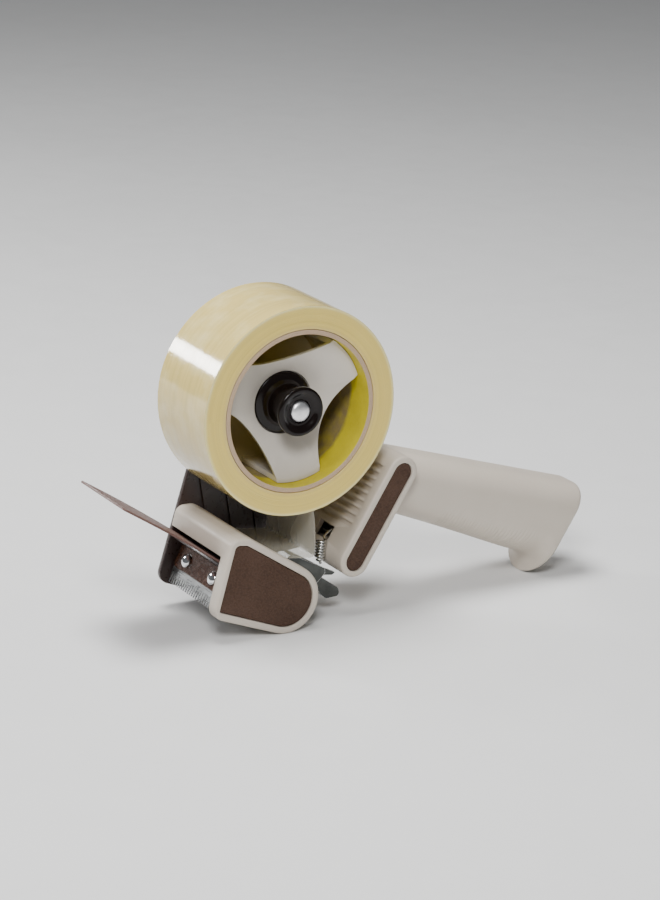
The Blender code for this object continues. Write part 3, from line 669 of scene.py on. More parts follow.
def grip_section(half_width, bottom, top, bottom_round, top_round, groove, steps=10):
    """Rounded rectangle of (y, height) points; the groove sinks its underside only."""
    corners = ((half_width - top_round, top - top_round, top_round, 0),
               (top_round - half_width, top - top_round, top_round, 90),
               (bottom_round - half_width, bottom + bottom_round, bottom_round, 180),
               (half_width - bottom_round, bottom + bottom_round, bottom_round, 270))
    points = []
    for y, height, radius, start in corners:
        for step in range(steps + 1):
            angle = math.radians(start + 90 * step / steps)
            facing_down = max(0.0, -math.sin(angle))
            reach = radius - groove * min(1.0, 1.6 * facing_down)
            points.append((y + reach * math.cos(angle), height + reach * math.sin(angle)))
    return points


def share(value, start, end):
    """How far value has come from start to end, from 0 to 1."""
    return min(1.0, max(0.0, (value - start) / (end - start)))


def grip(name, inset=0.0, ribs=True):
    """The grip's rounded skin with its finger ribs, or the space inside it when inset is its wall."""
    first_t, last_t = GRIP_UNDERSIDE[0][0], GRIP_UNDERSIDE[-1][0]
    distances = [first_t + i for i in range(int(RIBS_FROM - first_t))]
    rib_steps = 6
    fine = int((RIBS_TO - RIBS_FROM) / RIB_PITCH * rib_steps)
    distances += [RIBS_FROM + i * RIB_PITCH / rib_steps for i in range(fine)] if ribs else [
        RIBS_FROM + i * 2 for i in range(int((RIBS_TO - RIBS_FROM) / 2))]
    distances += [RIBS_TO + i for i in range(int(last_t - RIBS_TO))] + [last_t]
    rows = []
    for t in distances:
        strength = share(t, RIBS_FROM, RIBS_FROM + 4) * share(t, RIBS_TO, RIBS_TO - 4) if ribs else 0.0
        wave = 0.5 - 0.5 * math.cos(2 * math.pi * (t - RIBS_FROM) / RIB_PITCH)
        rows.append((t, smooth_underside(t), inset, RIB_DEPTH * wave * strength))
    steps = 8
    for step in range(1, steps + 1):
        angle = math.radians(90 * step / steps)
        shrunk = HEEL_ROUND * (1 - math.cos(angle))
        rows.append((last_t + HEEL_ROUND * math.sin(angle), GRIP_UNDERSIDE[-1][1], inset + shrunk, 0.0))
    if inset:
        rows = [row for row in rows if row[0] <= last_t - inset]
    rings = []
    for t, bottom, shrunk, groove in rows:
        rounder = share(t, HEEL_FROM, HEEL_TO) * (HEEL_BOTTOM_ROUND - GRIP_BOTTOM_ROUND)
        section = grip_section(GRIP_HALF_WIDTH - shrunk, bottom + shrunk, GRIP_TOP - shrunk,
                               GRIP_BOTTOM_ROUND + rounder - shrunk, GRIP_TOP_ROUND - shrunk, groove)
        lean = BUTT_LEAN * share(t, LEAN_FROM, LEAN_FROM + LEAN_OVER)
        loop = []
        for y, height in section:
            x, z = on_grip([(t + lean * (height - LEAN_HEIGHT), height)])[0]
            loop.append((x, y, z))
        rings.append(loop)
    return loft(name, rings)


def half_space(name, y_from, y_to):
    return prism(name, [(-20, -20), (220, -20), (220, 140), (-20, 140)], y_from, y_to)


def column_front(distance_down, depth):
    """Point on the column's front wall, from its upper end, at a depth below the surface."""
    length = math.hypot(COLUMN_TOP[0] - COLUMN_BOTTOM[0], COLUMN_TOP[1] - COLUMN_BOTTOM[1])
    down = ((COLUMN_BOTTOM[0] - COLUMN_TOP[0]) / length, (COLUMN_BOTTOM[1] - COLUMN_TOP[1]) / length)
    front = (down[1], -down[0])
    reach = COLUMN_RADIUS - depth
    return (COLUMN_TOP[0] + distance_down * down[0] + reach * front[0],
            COLUMN_TOP[1] + distance_down * down[1] + reach * front[1])


def front_box(name, start, end, depth, y_from, y_to):
    corners = [column_front(start, -1), column_front(end, -1), column_front(end, depth),
               column_front(start, depth)]
    return prism(name, corners, y_from, y_to)


def handle_body(paint):
    """Column and near part of the grip, one hollow moulding that is open on its far side."""
    body = grip("handle_shell")
    cut(body, half_space("far side", GRIP_SEAM, 40))
    column = cushioned("column", COLUMN, CHEEK_INNER, FRAME_INNER - GAP, 1.2, 0.4)
    join(body, column)
    inner = prism("column hollow", wrap(shrink(COLUMN, WALL)), CHEEK_INNER + 4.2, FRAME_INNER + 1)
    join(inner, grip("grip hollow", WALL, False))
    cut(body, inner)
    for centre in (COLUMN_TOP, COLUMN_BOTTOM):
        bored_boss(body, centre, 3.8, CHEEK_INNER + 3, FRAME_INNER - 0.8, SCREW_BORE, 12.0, FRAME_INNER + 1)
    for centre in COVER_SCREWS:
        bored_boss(body, centre, 3.8, -GRIP_HALF_WIDTH + 1.5, GRIP_SEAM - 0.4, SCREW_BORE, 0.0, GRIP_SEAM + 1)
    recess, panel = 0.6, 1.4
    cut(body, prism("inset", wrap(shrink(COLUMN, 3.0)), CHEEK_INNER - 1, CHEEK_INNER + recess + panel + GAP))
    rib_pitch, groove_width, groove_depth = 4.0, 2.4, 1.2
    for i in range(9):
        start = 1.4 + i * rib_pitch
        cut(body, front_box("groove", start, start + groove_width, groove_depth, -19.0, 20.0))
    cut(body, front_box("spring slot", 39.4, 46.8, WALL + 1.5, *SPRING_SLOT))
    soften(body, 0.25, 2, 50)
    place(body, "root", paint, "putty_plastic", ["handle_body"], sharp=50)
    inset = cushioned("handle_inset", shrink(COLUMN, 3.0 + GAP), CHEEK_INNER + recess,
                      CHEEK_INNER + recess + panel, 0.45)
    place(inset, "root", paint, "brown_panel", ["handle_panel"])


def handle_back_cover(paint):
    cover = grip("back_cover")
    cut(cover, half_space("near side", -40, GRIP_SEAM + GAP))
    cut(cover, grip("grip hollow", WALL, False))
    cut(cover, prism("column space", wrap(shrink(COLUMN, -GAP)), -30, 30))
    for number, centre in enumerate(COVER_SCREWS, 1):
        bored_boss(cover, centre, 4.6, GRIP_SEAM + 0.6, GRIP_HALF_WIDTH - 1.0, SCREW_BORE, 0, 30)
        cut(cover, bar("counterbore", centre, 3.5, GRIP_SEAM + 4.4, 30, steps=48))
        seat = GRIP_SEAM + 4.7
        screw = cross_screw(f"cover_cross_screw_{number}", (centre[0], seat, centre[1]), (0, 1, 0), 3.2, 1.5,
                            seat - 1.5, 2.0, 25.0 * number)
        place(screw, "root", paint, "chrome", [f"cover_screw_{number}"], sharp=40)
    soften(cover, 0.25, 2, 50)
    place(cover, "root", paint, "putty_plastic", ["handle_back_cover"], sharp=50)


def return_spring(paint):
    """Tension coil from the slot in the column to the lever's tail, with a hook at its upper end and a short
    straight tail at its lower end.
    """
    wire, coil_radius = 0.68, 2.25
    pin = column_front(43.1, 4.1)
    anchor = bar("spring_anchor", pin, 0.8, SPRING_SLOT[0] - 1.5, SPRING_SLOT[1] + 1.5, 0.2, 24)
    place(anchor, "root", paint, "zinc_steel", ["spring_pin"])
    top, bottom = (24.0, -8.6, 36.2), (23.0, -9.2, 26.6)
    hook = [(pin[0] + 0.2, -5.8, pin[1] + 2.2), (31.4, -5.9, 40.2), (29.4, -6.0, 38.9), (27.2, -6.7, 38.0),
            (25.6, -7.8, 37.4)]
    turns = 6.5
    body = coil(top, bottom, coil_radius, turns)
    tail = [(23.2, -9.3, 25.6), (23.4, -9.35, 24.8), (23.6, -9.4, 24.2)]
    spring = swept("coil_spring", smooth_route([*hook, *body, *tail]), wire)
    place(spring, None, paint, "spring_wire", ["return_spring"], "zinc_steel", sharp=60)
    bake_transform(spring)


def smooth_route(route):
    """The route with its few sudden turns rounded off by averaging neighbours."""
    made = [route[0]]
    for i in range(1, len(route) - 1):
        made.append(tuple((route[i - 1][k] + 4 * route[i][k] + route[i + 1][k]) / 6 for k in range(3)))
    return [*made, route[-1]]


# ---------------------------------------------------------------- tape, hub and knob

def tape_axle(paint):
    thread = []
    for i in range(11):
        y = 26.0 + 0.5 * i
        thread += [(6.0, y), (5.7, y + 0.25)]
    profile = [(0, -19.4), (5.4, -19.4), (6.0, -18.8), (6.0, 21.8), (8.7, 21.8), (9.0, 22.1),
               (9.0, 25.1), (6.0, 25.1), *thread, (5.4, 32.0), (0, 32.0)]
    place(turned("axle_stud", profile, AXLE, 72, False), "root", paint, "zinc_steel", ["axle"])
    washer = ring("axle_flat_washer", AXLE, 6.3, 10.0, 28.7, 29.7, 0.2)
    place(washer, "root", paint, "zinc_steel", ["axle_washer"])
    nut = prism("axle_hex_nut", arc((*AXLE, 9.2), 0, 300, 5), 30.0, 32.4)
    chamfer = [(7.9, 29.0), (14.0, 29.0), (14.0, 33.4), (7.9, 33.4), (8.0, 32.4), (9.3, 31.8),
               (9.3, 30.6), (8.0, 30.0)]
    cut(nut, turned("chamfer", chamfer, AXLE, 72))
    cut(nut, bar("bore", AXLE, 6.3, 29, 34, steps=72))
    place(nut, "root", paint, "zinc_steel", ["axle_nut"])


def tape_hub(paint):
    """Hub: a dished front with three arms, three pads inside the core, a sleeve and a closed far side."""
    profile = [(10.8, -4.4), (15.8, -4.4), (15.8, -6.9), (35.4, -16.3), (37.8, -16.3), (37.8, 21.5),
               (6.5, 21.5), (6.5, 13.0), (10.8, 13.0)]
    hub = turned("hub_moulding", profile, AXLE, 120)
    back_disc = 19.1
    cut(hub, turned("hollow", [(34.8, -13.5), (34.8, back_disc), (12.8, back_disc), (12.8, -2.8)], AXLE, 120))
    waist, bow = 22.5, 58.0
    for arm in HUB_ARM_ANGLES:
        turn = math.radians(arm + 60.0)
        edge = [(waist + bow - math.sqrt(bow**2 - y**2), y) for y in range(-30, 31, 3)]
        window = [*edge, (50, 30), (50, -30)]
        placed = [(x * math.cos(turn) - y * math.sin(turn), AXLE_Z + x * math.sin(turn) + y * math.cos(turn))
                  for x, y in window]
        cut(hub, prism("window", placed, -22, back_disc - 0.2))
    soften(hub, 0.35, 2)
    place(hub, "hub", paint, "hub_plastic", ["tape_hub"])


HUB_ARM_ANGLES = (37.7, 157.7, 277.7)


def tape_core(paint):
    """Cardboard core: plies at its rims, and a lighter lining inside."""
    rough = random.Random(3)
    edge = 0.25
    plies = 8
    rim = [(CORE_BORE + edge + (CORE_OUTER - CORE_BORE - 2 * edge) * i / plies,
            TAPE_HALF - rough.uniform(0.0, 0.12)) for i in range(plies + 1)]
    profile = [(CORE_BORE, -TAPE_HALF + edge), *[(r, -y) for r, y in rim], (CORE_OUTER, -TAPE_HALF + edge),
               (CORE_OUTER, TAPE_HALF - edge), *rim[::-1], (CORE_BORE, TAPE_HALF - edge)]
    core = turned("cardboard_core", profile, AXLE, 144)
    place(core, "hub", paint, "core_cardboard", ["tape_core"])
    core.data.materials.append(paint["core_lining"])
    axle = Vector((MM * AXLE_X, 0, MM * AXLE_Z))
    for face in core.data.polygons:
        away = face.center - axle
        away.y = 0
        if away.length < MM * (CORE_BORE + 0.1) and abs(face.normal.y) < 0.3:
            face.material_index = 1


def tape_roll(paint):
    """Wound film: its wraps stand a few hundredths proud of each other at the sides."""
    rough = random.Random(7)
    inner, outer, edge = CORE_OUTER + GAP, ROLL_RADIUS, 0.12
    bands = 46
    side = []
    for i in range(bands + 1):
        radius = inner + edge + (outer - inner - 2 * edge) * i / bands
        side.append((radius, TAPE_HALF - rough.uniform(0.0, 0.09)))
    profile = [(inner, -TAPE_HALF + edge), *[(r, -y) for r, y in side], (outer, -TAPE_HALF + edge),
               (outer, TAPE_HALF - edge), *side[::-1], (inner, TAPE_HALF - edge)]
    roll = turned("film_roll", profile, AXLE, 240)
    place(roll, "hub", paint, "tape_side", ["tape_roll"], "clear_tape", sharp=50)
    roll.data.materials.append(paint["clear_tape"])
    for face in roll.data.polygons:
        if abs(face.normal.y) < 0.3 and math.hypot(face.center.x - MM * AXLE_X,
                                                   face.center.z - MM * AXLE_Z) > MM * (outer - 0.5):
            face.material_index = 1
    film_end(paint)


def film_end(paint):
    """Last wrap of film, which ends where the free run of film peels off the roll."""
    start, sweep, steps, thickness = 285.0, 340.0, 170, 0.14
    low, high, half = ROLL_RADIUS + 0.01, ROLL_RADIUS + thickness, TAPE_HALF - 0.15
    rows = []
    for step in range(steps + 1):
        angle = math.radians(start + sweep * step / steps)
        ripple = 0.35 * math.sin(11 * angle) if step < 3 else 0.0
        corners = [(low, -half), (high, -half + ripple), (high, half - ripple), (low, half)]
        rows.append([(radius * math.cos(angle), y, AXLE_Z + radius * math.sin(angle))
                     for radius, y in corners])
    film = loft("film_last_wrap", rows)
    place(film, "hub", paint, "clear_tape", sharp=50)


def free_film(paint):
    """Run of clear film from the roll down to the lever's flange, and forward to the roller."""
    thickness, half = 0.12, TAPE_HALF - 0.2
    peel, bow, drift, fall = (9.6, 57.9), 0.78, 1.4, 22.5
    down = [(peel[0] + bow * math.sin(math.pi * u) + drift * u, peel[1] - fall * u)
            for u in (i / 12 for i in range(13))]
    bend = [(10.4, 34.4), (8.6, 34.1)]
    flange, run, rise, sag, roller_top = (6.0, 34.6), 20.0, 3.9, 0.8, (-17.5, 39.2)
    forward = [(flange[0] - run * u, flange[1] + rise * u - sag * math.sin(math.pi * u))
               for u in (i / 8 for i in range(1, 9))]
    route = [*down, *bend, flange, *forward, roller_top]
    outer, inner = [], []
    for i, point in enumerate(route):
        before, after = Vector(route[max(i - 1, 0)]), Vector(route[min(i + 1, len(route) - 1)])
        along = (after - before).normalized()
        side = Vector((along.y, -along.x)) * thickness / 2
        outer.append(tuple(Vector(point) + side))
        inner.append(tuple(Vector(point) - side))
    rings = [[(a[0], -half, a[1]), (a[0], half, a[1]), (b[0], half, b[1]), (b[0], -half, b[1])]
             for a, b in zip(outer, inner)]
    strand = loft("film_run", rings)
    place(strand, None, paint, "film_run", slot="clear_tape", sharp=60)
    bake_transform(strand)


def tape_brake(paint):
    """Washers and spring in the hub's pocket: the knob presses them to set the drag."""
    friction = ring("brake_disc", AXLE, 6.3, 10.4, 11.2, 12.7, 0.2)
    place(friction, "hub", paint, "fibre", ["friction_washer"])
    thrust = ring("brake_washer", AXLE, 6.3, 10.4, 9.9, 10.9, 0.2)
    place(thrust, "hub", paint, "zinc_steel", ["thrust_washer"])
    route = coil((0, -1.3, AXLE_Z), (0, 8.7, AXLE_Z), 8.5, 5, 32)
    spring = swept("brake_coil", route, 0.8)
    place(spring, "hub", paint, "spring_wire", ["brake_spring"], "zinc_steel", sharp=60)


def knob(paint):
    waist = (11.6, -7.8)
    flange = [(10.3, -2.6), (10.3, -4.7), (15.2, -4.7), (15.2, -6.9), waist]
    flange = round_corners(flange, 0.6, 4, False)
    lip = [waist, (10.0, -9.6), (10.0, -19.8), (12.2, -22.0), (12.2, -24.4), (11.0, -25.0),
           (9.6, -24.7), (7.6, -23.2), (5.6, -23.2), (5.6, -21.4)]
    lip = round_corners(lip, 0.8, 4, False)
    profile = [(0, -19.8), (6.3, -19.8), (6.3, -2.6), *flange, *lip[1:], (0, -21.4)]
    body = turned("knob_moulding", profile, AXLE, 120, False)
    place(body, "knob", paint, "black_plastic", ["tension_knob"])
    dome = [(0, -21.7), (5.2, -21.7), (5.2, -23.4), *[(5.2 * math.cos(a), -23.4 - 2.2 * math.sin(a))
            for a in (math.radians(15 * i) for i in range(1, 6))], (0, -25.6)]
    cap = turned("knob_button", dome, AXLE, 72, False)
    place(cap, "knob", paint, "bright_cap", ["knob_cap"], "chrome", sharp=50)


# ---------------------------------------------------------------- materials

class Surface:
    """One procedural material under construction: a Principled shader and short calls for its nodes."""

    def __init__(self, name, colour, roughness, metallic=0.0, **sockets):
        self.material = bpy.data.materials.new(name)
        self.material.use_nodes = True
        self.tree = self.material.node_tree
        self.shader = self.tree.nodes["Principled BSDF"]
        self.colour = (*colour, 1.0)
        self.shader.inputs["Base Color"].default_value = self.colour
        self.shader.inputs["Roughness"].default_value = roughness
        self.shader.inputs["Metallic"].default_value = metallic
        for socket, value in sockets.items():
            self.shader.inputs[socket.replace("_", " ")].default_value = value
        self.place = self.tree.nodes.new("ShaderNodeTexCoord").outputs["Object"]
        self.normal = None

    def put(self, socket, value):
        if isinstance(value, bpy.types.NodeSocket):
            self.tree.links.new(value, socket)
        else:
            socket.default_value = value

    def node(self, kind, inputs, output=0, **settings):
        """One output of a new node whose settings and inputs are filled in."""
        made = self.tree.nodes.new("ShaderNode" + kind)
        for setting, value in settings.items():
            setattr(made, setting, value)
        for socket, value in inputs.items():
            self.put(made.inputs[socket], value)
        return made.outputs[output]

    def scaled(self, scale):
        """Object coordinates about the tape axle, in millimetres times scale."""
        per_metre = [v / MM for v in scale]
        centre = [-s * c for s, c in zip(per_metre, world(0, 0, AXLE_Z))]
        return self.node("Mapping", {"Location": centre, "Scale": per_metre, "Vector": self.place}, "Vector")

    def noise(self, per_mm, detail=4.0, stretch=(1, 1, 1), rough=0.5):
        at = self.scaled([per_mm * s for s in stretch])
        inputs = {"Vector": at, "Scale": 1.0, "Detail": detail, "Roughness": rough}
        return self.node("TexNoise", inputs, "Fac")

    def cells(self, per_mm):
        return self.node("TexVoronoi", {"Vector": self.scaled([per_mm] * 3), "Scale": 1.0}, "Distance",
                         feature="SMOOTH_F1")

    def from_axle(self):
        """Distance from the tape axle, angle round it and distance along it."""
        x, across, z = self.tree.nodes.new("ShaderNodeSeparateXYZ").outputs
        self.put(x.node.inputs[0], self.scaled((1, 1, 1)))
        squares = self.maths("ADD", self.maths("MULTIPLY", x, x), self.maths("MULTIPLY", z, z))
        return self.maths("SQRT", squares), self.maths("ARCTAN2", z, x), across

    def line_noise(self, value, scale, detail=3.0, other=0.0):
        """Noise that varies along one value only, or along two."""
        at = self.node("CombineXYZ", {"X": self.maths("MULTIPLY", value, scale), "Y": other})
        return self.node("TexNoise", {"Vector": at, "Scale": 1.0, "Detail": detail}, "Fac",
                         noise_dimensions="2D")

    def maths(self, operation, first, second=0.0):
        return self.node("Math", {0: first, 1: second}, operation=operation)

    def spread(self, value, low, high, new_low=0.0, new_high=1.0):
        """Value from low..high stretched to new_low..new_high, and held there."""
        return self.node("MapRange", {"Value": value, "From Min": low, "From Max": high,
                                      "To Min": new_low, "To Max": new_high}, "Result")

    def tint(self, factor, colour):
        """Mixes a colour into the base colour where factor is high."""
        self.colour = self.node("Mix", {0: factor, 6: self.colour, 7: (*colour, 1.0)}, 2, data_type="RGBA")
        self.put(self.shader.inputs["Base Color"], self.colour)

    def mottle(self, noise, low, high, amount, colour):
        """Mixes in up to amount of a colour, in patches where the noise is high."""
        self.tint(self.spread(self.noise(*noise), low, high, 0.0, amount), colour)

    def roughen(self, value, low, high):
        self.put(self.shader.inputs["Roughness"], self.spread(value, 0.3, 0.7, low, high))

    def relief(self, height, depth_mm, strength=1.0):
        inputs = {"Strength": strength, "Distance": depth_mm * MM, "Height": height}
        if self.normal:
            inputs["Normal"] = self.normal
        self.normal = self.node("Bump", inputs, "Normal")
        self.put(self.shader.inputs["Normal"], self.normal)

    def edges(self, radius_mm):
        """High along sharp edges: worn enamel on the frame, and a painted highlight on the lever's edges."""
        rounded = self.node("Bevel", {"Radius": radius_mm * MM}, "Normal", samples=4)
        true = self.node("NewGeometry", {}, "Normal")
        agree = self.node("VectorMath", {0: rounded, 1: true}, "Value", operation="DOT_PRODUCT")
        return self.spread(agree, 0.97, 0.80)


def putty_plastic():
    """Glass-filled moulding: matt, a little mottled, with faint scuffs."""
    made = Surface("putty_plastic", (0.555, 0.495, 0.42), 0.40, Specular_IOR_Level=0.45)
    made.mottle((0.035, 3), 0.35, 0.7, 0.5, (0.50, 0.44, 0.37))
    made.mottle((2.2, 5), 0.55, 0.8, 0.22, (0.42, 0.38, 0.33))
    scuffs = made.noise(0.5, 6, (0.25, 1.0, 3.0), 0.7)
    made.tint(made.spread(scuffs, 0.66, 0.78, 0.0, 0.22), (0.36, 0.32, 0.28))
    made.roughen(made.noise(0.4, 5), 0.34, 0.5)
    made.relief(made.noise(3.2, 3), 0.035)
    made.relief(made.noise(0.12, 2), 0.25, 0.4)
    return made.material


def brown_panel():
    """Moulded panel with a fine pebbled grain."""
    made = Surface("brown_panel", (0.068, 0.036, 0.023), 0.6, Specular_IOR_Level=0.22)
    pebbles = made.cells(1.05)
    made.tint(made.spread(pebbles, 0.25, 0.65, 0.0, 0.65), (0.036, 0.018, 0.011))
    made.mottle((0.05, 3), 0.4, 0.7, 0.5, (0.088, 0.050, 0.034))
    made.roughen(made.noise(1.5, 4), 0.5, 0.72)
    made.relief(made.spread(pebbles, 0.0, 0.7, 1.0, 0.0), 0.22, 0.9)
    made.relief(made.noise(4.5, 2), 0.03)
    return made.material


def frame_enamel():
    """Stoved enamel: semi-gloss with a slight ripple, rubbed at its edges."""
    made = Surface("frame_enamel", (0.034, 0.020, 0.017), 0.34, Specular_IOR_Level=0.35, Coat_Weight=0.15,
                   Coat_Roughness=0.25)
    made.mottle((0.06, 4), 0.4, 0.75, 0.5, (0.050, 0.031, 0.027))
    scratches = made.noise(0.7, 7, (0.2, 1.0, 4.0), 0.75)
    made.tint(made.spread(scratches, 0.7, 0.84, 0.0, 0.25), (0.08, 0.058, 0.052))
    rubbed = made.maths("MULTIPLY", made.edges(0.5), made.spread(made.noise(1.0, 4), 0.45, 0.65))
    made.tint(rubbed, (0.10, 0.08, 0.07))
    made.roughen(made.noise(0.5, 5), 0.24, 0.42)
    made.relief(made.noise(0.8, 2), 0.05, 0.5)
    made.relief(made.noise(5.0, 2), 0.012)
    return made.material


def wiper_plastic():
    """Thin translucent sheet with rolling lines across it."""
    made = Surface("wiper_plastic", (0.120, 0.062, 0.050), 0.45, Specular_IOR_Level=0.3,
                   Transmission_Weight=0.08, Coat_Weight=0.08, Coat_Roughness=0.25)
    made.mottle((0.05, 3), 0.4, 0.7, 0.55, (0.155, 0.088, 0.074))
    lines = made.noise(1.1, 5, (0.08, 2.5, 0.08), 0.65)
    made.tint(made.spread(lines, 0.6, 0.8, 0.0, 0.3), (0.19, 0.12, 0.10))
    made.roughen(made.noise(0.4, 5), 0.38, 0.56)
    made.relief(lines, 0.02)
    made.relief(made.noise(0.1, 2), 0.3, 0.4)
    return made.material


def clamp_plastic():
    made = Surface("clamp_plastic", (0.060, 0.022, 0.010), 0.22, Coat_Weight=0.4, Coat_Roughness=0.08)
    made.mottle((0.25, 4), 0.4, 0.7, 0.6, (0.085, 0.034, 0.016))
    made.roughen(made.noise(0.5, 4), 0.2, 0.32)
    made.relief(made.noise(0.12, 2), 0.05, 0.3)
    return made.material


def steel(name, colour, low, high, grain, painted_edge_highlight=None):
    """Plated or bare steel with grain along one direction, stained a little, with a painted highlight along
    its edges when an edge colour is given.
    """
    made = Surface(name, colour, low, 1.0)
    darker = tuple(0.62 * c for c in colour)
    made.mottle((0.22, 5), 0.42, 0.72, 0.7, darker)
    made.mottle((2.5, 4), 0.58, 0.72, 0.4, tuple(0.45 * c for c in colour))
    # Painted highlight: a light colour laid along sharp edges, standing in for light caught there.
    if painted_edge_highlight:
        made.tint(made.spread(made.edges(0.5), 0.05, 0.6, 0.0, 0.95), painted_edge_highlight)
    brushed = made.noise(1.6, 5, grain, 0.6)
    made.roughen(brushed, low, high)
    made.relief(brushed, 0.02, 0.6)
    return made.material


def rubber():
    made = Surface("rubber", (0.024, 0.022, 0.022), 0.7, Specular_IOR_Level=0.35)
    made.mottle((0.3, 5), 0.45, 0.7, 0.7, (0.06, 0.055, 0.052))
    made.roughen(made.noise(1.0, 4), 0.6, 0.85)
    made.relief(made.noise(2.5, 4), 0.05)
    return made.material


def black_plastic():
    """Polished phenolic knob with hairline scratches and a little dust."""
    made = Surface("black_plastic", (0.006, 0.0035, 0.003), 0.12, Specular_IOR_Level=0.22, Coat_Weight=0.06,
                   Coat_Roughness=0.04)
    made.mottle((2.0, 6), 0.62, 0.75, 0.2, (0.03, 0.026, 0.024))
    made.roughen(made.noise(0.6, 6, (1, 3, 1), 0.7), 0.08, 0.26)
    made.relief(made.noise(0.9, 3), 0.012, 0.5)
    return made.material


def hub_plastic():
    made = Surface("hub_plastic", (0.60, 0.555, 0.50), 0.4)
    made.mottle((0.05, 3), 0.4, 0.7, 0.5, (0.53, 0.485, 0.43))
    made.mottle((1.5, 5), 0.6, 0.78, 0.25, (0.42, 0.39, 0.35))
    _, _, across = made.from_axle()
    # Deeper towards the closed far side the putty is tinted olive yellow: painted shade, with the liner's
    # yellow light thrown back onto it. The far face is then tinted back to plain putty.
    made.tint(made.spread(across, 4.0, 16.0, 0.0, 0.85), (0.40, 0.30, 0.085))
    made.tint(made.spread(across, 19.3, 20.6), (0.55, 0.505, 0.45))
    made.roughen(made.noise(0.5, 5), 0.32, 0.5)
    made.relief(made.noise(2.6, 3), 0.03)
    return made.material


def core_cardboard():
    """Rims of spirally wound board: fine plies with loose fibres."""
    made = Surface("core_cardboard", (0.50, 0.37, 0.25), 0.85, Specular_IOR_Level=0.25)
    radius, angle, _ = made.from_axle()
    plies = made.line_noise(made.maths("ADD", radius, made.maths("MULTIPLY", angle, 0.06)), 5.0)
    made.tint(made.spread(plies, 0.45, 0.65, 0.0, 0.7), (0.30, 0.19, 0.13))
    made.mottle((2.4, 5), 0.55, 0.75, 0.45, (0.62, 0.47, 0.36))
    made.roughen(made.noise(1.5, 4), 0.75, 0.95)
    made.relief(plies, 0.10, 0.8)
    made.relief(made.noise(3.5, 4), 0.06)
    return made.material


def core_lining():
    """Inside of the core: bright yellow liner, and further in a printed band painted dark brown as the shade
    deep in the core, with its spiral joint.
    """
    made = Surface("core_lining", (0.66, 0.55, 0.018), 0.5)
    _, angle, across = made.from_axle()
    # Further in, the printed band is painted dark brown: painted shade deep inside the core.
    print_and_shade_band = made.maths("ADD", across, made.maths("MULTIPLY", made.noise(0.25, 3), 3.0))
    made.tint(made.spread(print_and_shade_band, -7.0, -4.0), (0.22, 0.165, 0.085))
    spiral = made.maths("FRACT", made.maths("ADD", made.maths("MULTIPLY", across, 0.0125),
                                            made.maths("MULTIPLY", angle, 0.15915)))
    made.tint(made.spread(spiral, 0.985, 0.992, 0.0, 0.6), (0.26, 0.19, 0.09))
    made.mottle((0.12, 5), 0.4, 0.7, 0.6, (0.50, 0.40, 0.02))
    made.mottle((1.8, 5, (1, 0.3, 1)), 0.6, 0.8, 0.2, (0.75, 0.68, 0.20))
    made.roughen(made.noise(0.8, 4), 0.45, 0.65)
    made.relief(made.noise(2.0, 4), 0.03)
    return made.material


def clear_tape():
    """Outside of the roll: glossy film over the straw colour of the many wraps below."""
    made = Surface("clear_tape", (0.68, 0.53, 0.18), 0.2, Specular_IOR_Level=0.35, Coat_Weight=0.4,
                   Coat_Roughness=0.05)
    _, angle, across = made.from_axle()
    bands = made.line_noise(across, 0.35, 4.0, made.maths("MULTIPLY", angle, 0.4))
    made.tint(made.spread(bands, 0.4, 0.65, 0.0, 0.5), (0.55, 0.43, 0.14))
    made.mottle((0.09, 4), 0.45, 0.75, 0.5, (0.80, 0.70, 0.38))
    made.roughen(made.noise(0.3, 4, (1, 2, 1)), 0.07, 0.2)
    made.relief(bands, 0.05, 0.5)
    made.relief(made.noise(0.07, 2, (1, 2.2, 1)), 0.5, 0.35)
    return made.material


def film_run():
    """A single clear layer of film, slightly hazy, with faint lines along it."""
    made = Surface("film_run", (0.80, 0.77, 0.66), 0.16, Alpha=0.34, Coat_Weight=0.5, Coat_Roughness=0.06)
    made.mottle((0.25, 3, (1, 2, 0.15)), 0.4, 0.7, 0.6, (0.88, 0.87, 0.80))
    made.roughen(made.noise(0.3, 4), 0.08, 0.24)
    made.relief(made.noise(0.12, 2, (1, 1.5, 0.4)), 0.6, 0.5)
    return made.material


def tape_side():
    """Side of the roll: fine concentric lines where wraps stand proud, with darker adhesive between."""
    made = Surface("tape_side", (0.74, 0.57, 0.13), 0.36, Coat_Weight=0.25, Coat_Roughness=0.25,
                   Subsurface_Weight=0.3, Subsurface_Scale=0.004, Subsurface_Radius=(1.0, 0.8, 0.3))
    radius, angle, _ = made.from_axle()
    lines = made.line_noise(radius, 6.0, 5.0, made.maths("MULTIPLY", angle, 0.25))
    bands = made.line_noise(radius, 0.8, 3.0, made.maths("MULTIPLY", angle, 0.15))
    made.tint(made.spread(bands, 0.42, 0.62, 0.0, 0.4), (0.62, 0.46, 0.09))
    made.tint(made.spread(lines, 0.5, 0.7, 0.0, 0.3), (0.84, 0.70, 0.26))
    made.tint(made.spread(radius, 42.6, 41.0, 0.0, 0.5), (0.66, 0.48, 0.22))
    # Lighter towards the outer rim: a painted highlight where the rounded rim and the translucent film catch
    # the light.
    made.tint(made.spread(radius, 50.4, 51.8, 0.0, 0.75), (0.90, 0.80, 0.42))
    made.roughen(lines, 0.28, 0.55)
    made.relief(lines, 0.12, 0.8)
    return made.material


def fibre():
    made = Surface("fibre", (0.25, 0.07, 0.04), 0.8)
    made.mottle((1.5, 5), 0.45, 0.7, 0.6, (0.34, 0.13, 0.08))
    made.roughen(made.noise(2.0, 4), 0.65, 0.9)
    made.relief(made.noise(3.0, 4), 0.06)
    return made.material


def floor_paper():
    made = Surface("floor_paper", (0.76, 0.76, 0.755), 0.6, Specular_IOR_Level=0.3)
    made.mottle((0.004, 3), 0.4, 0.7, 0.3, (0.71, 0.71, 0.705))
    made.roughen(made.noise(0.05, 4), 0.55, 0.7)
    made.relief(made.noise(0.6, 3), 0.02, 0.4)
    return made.material


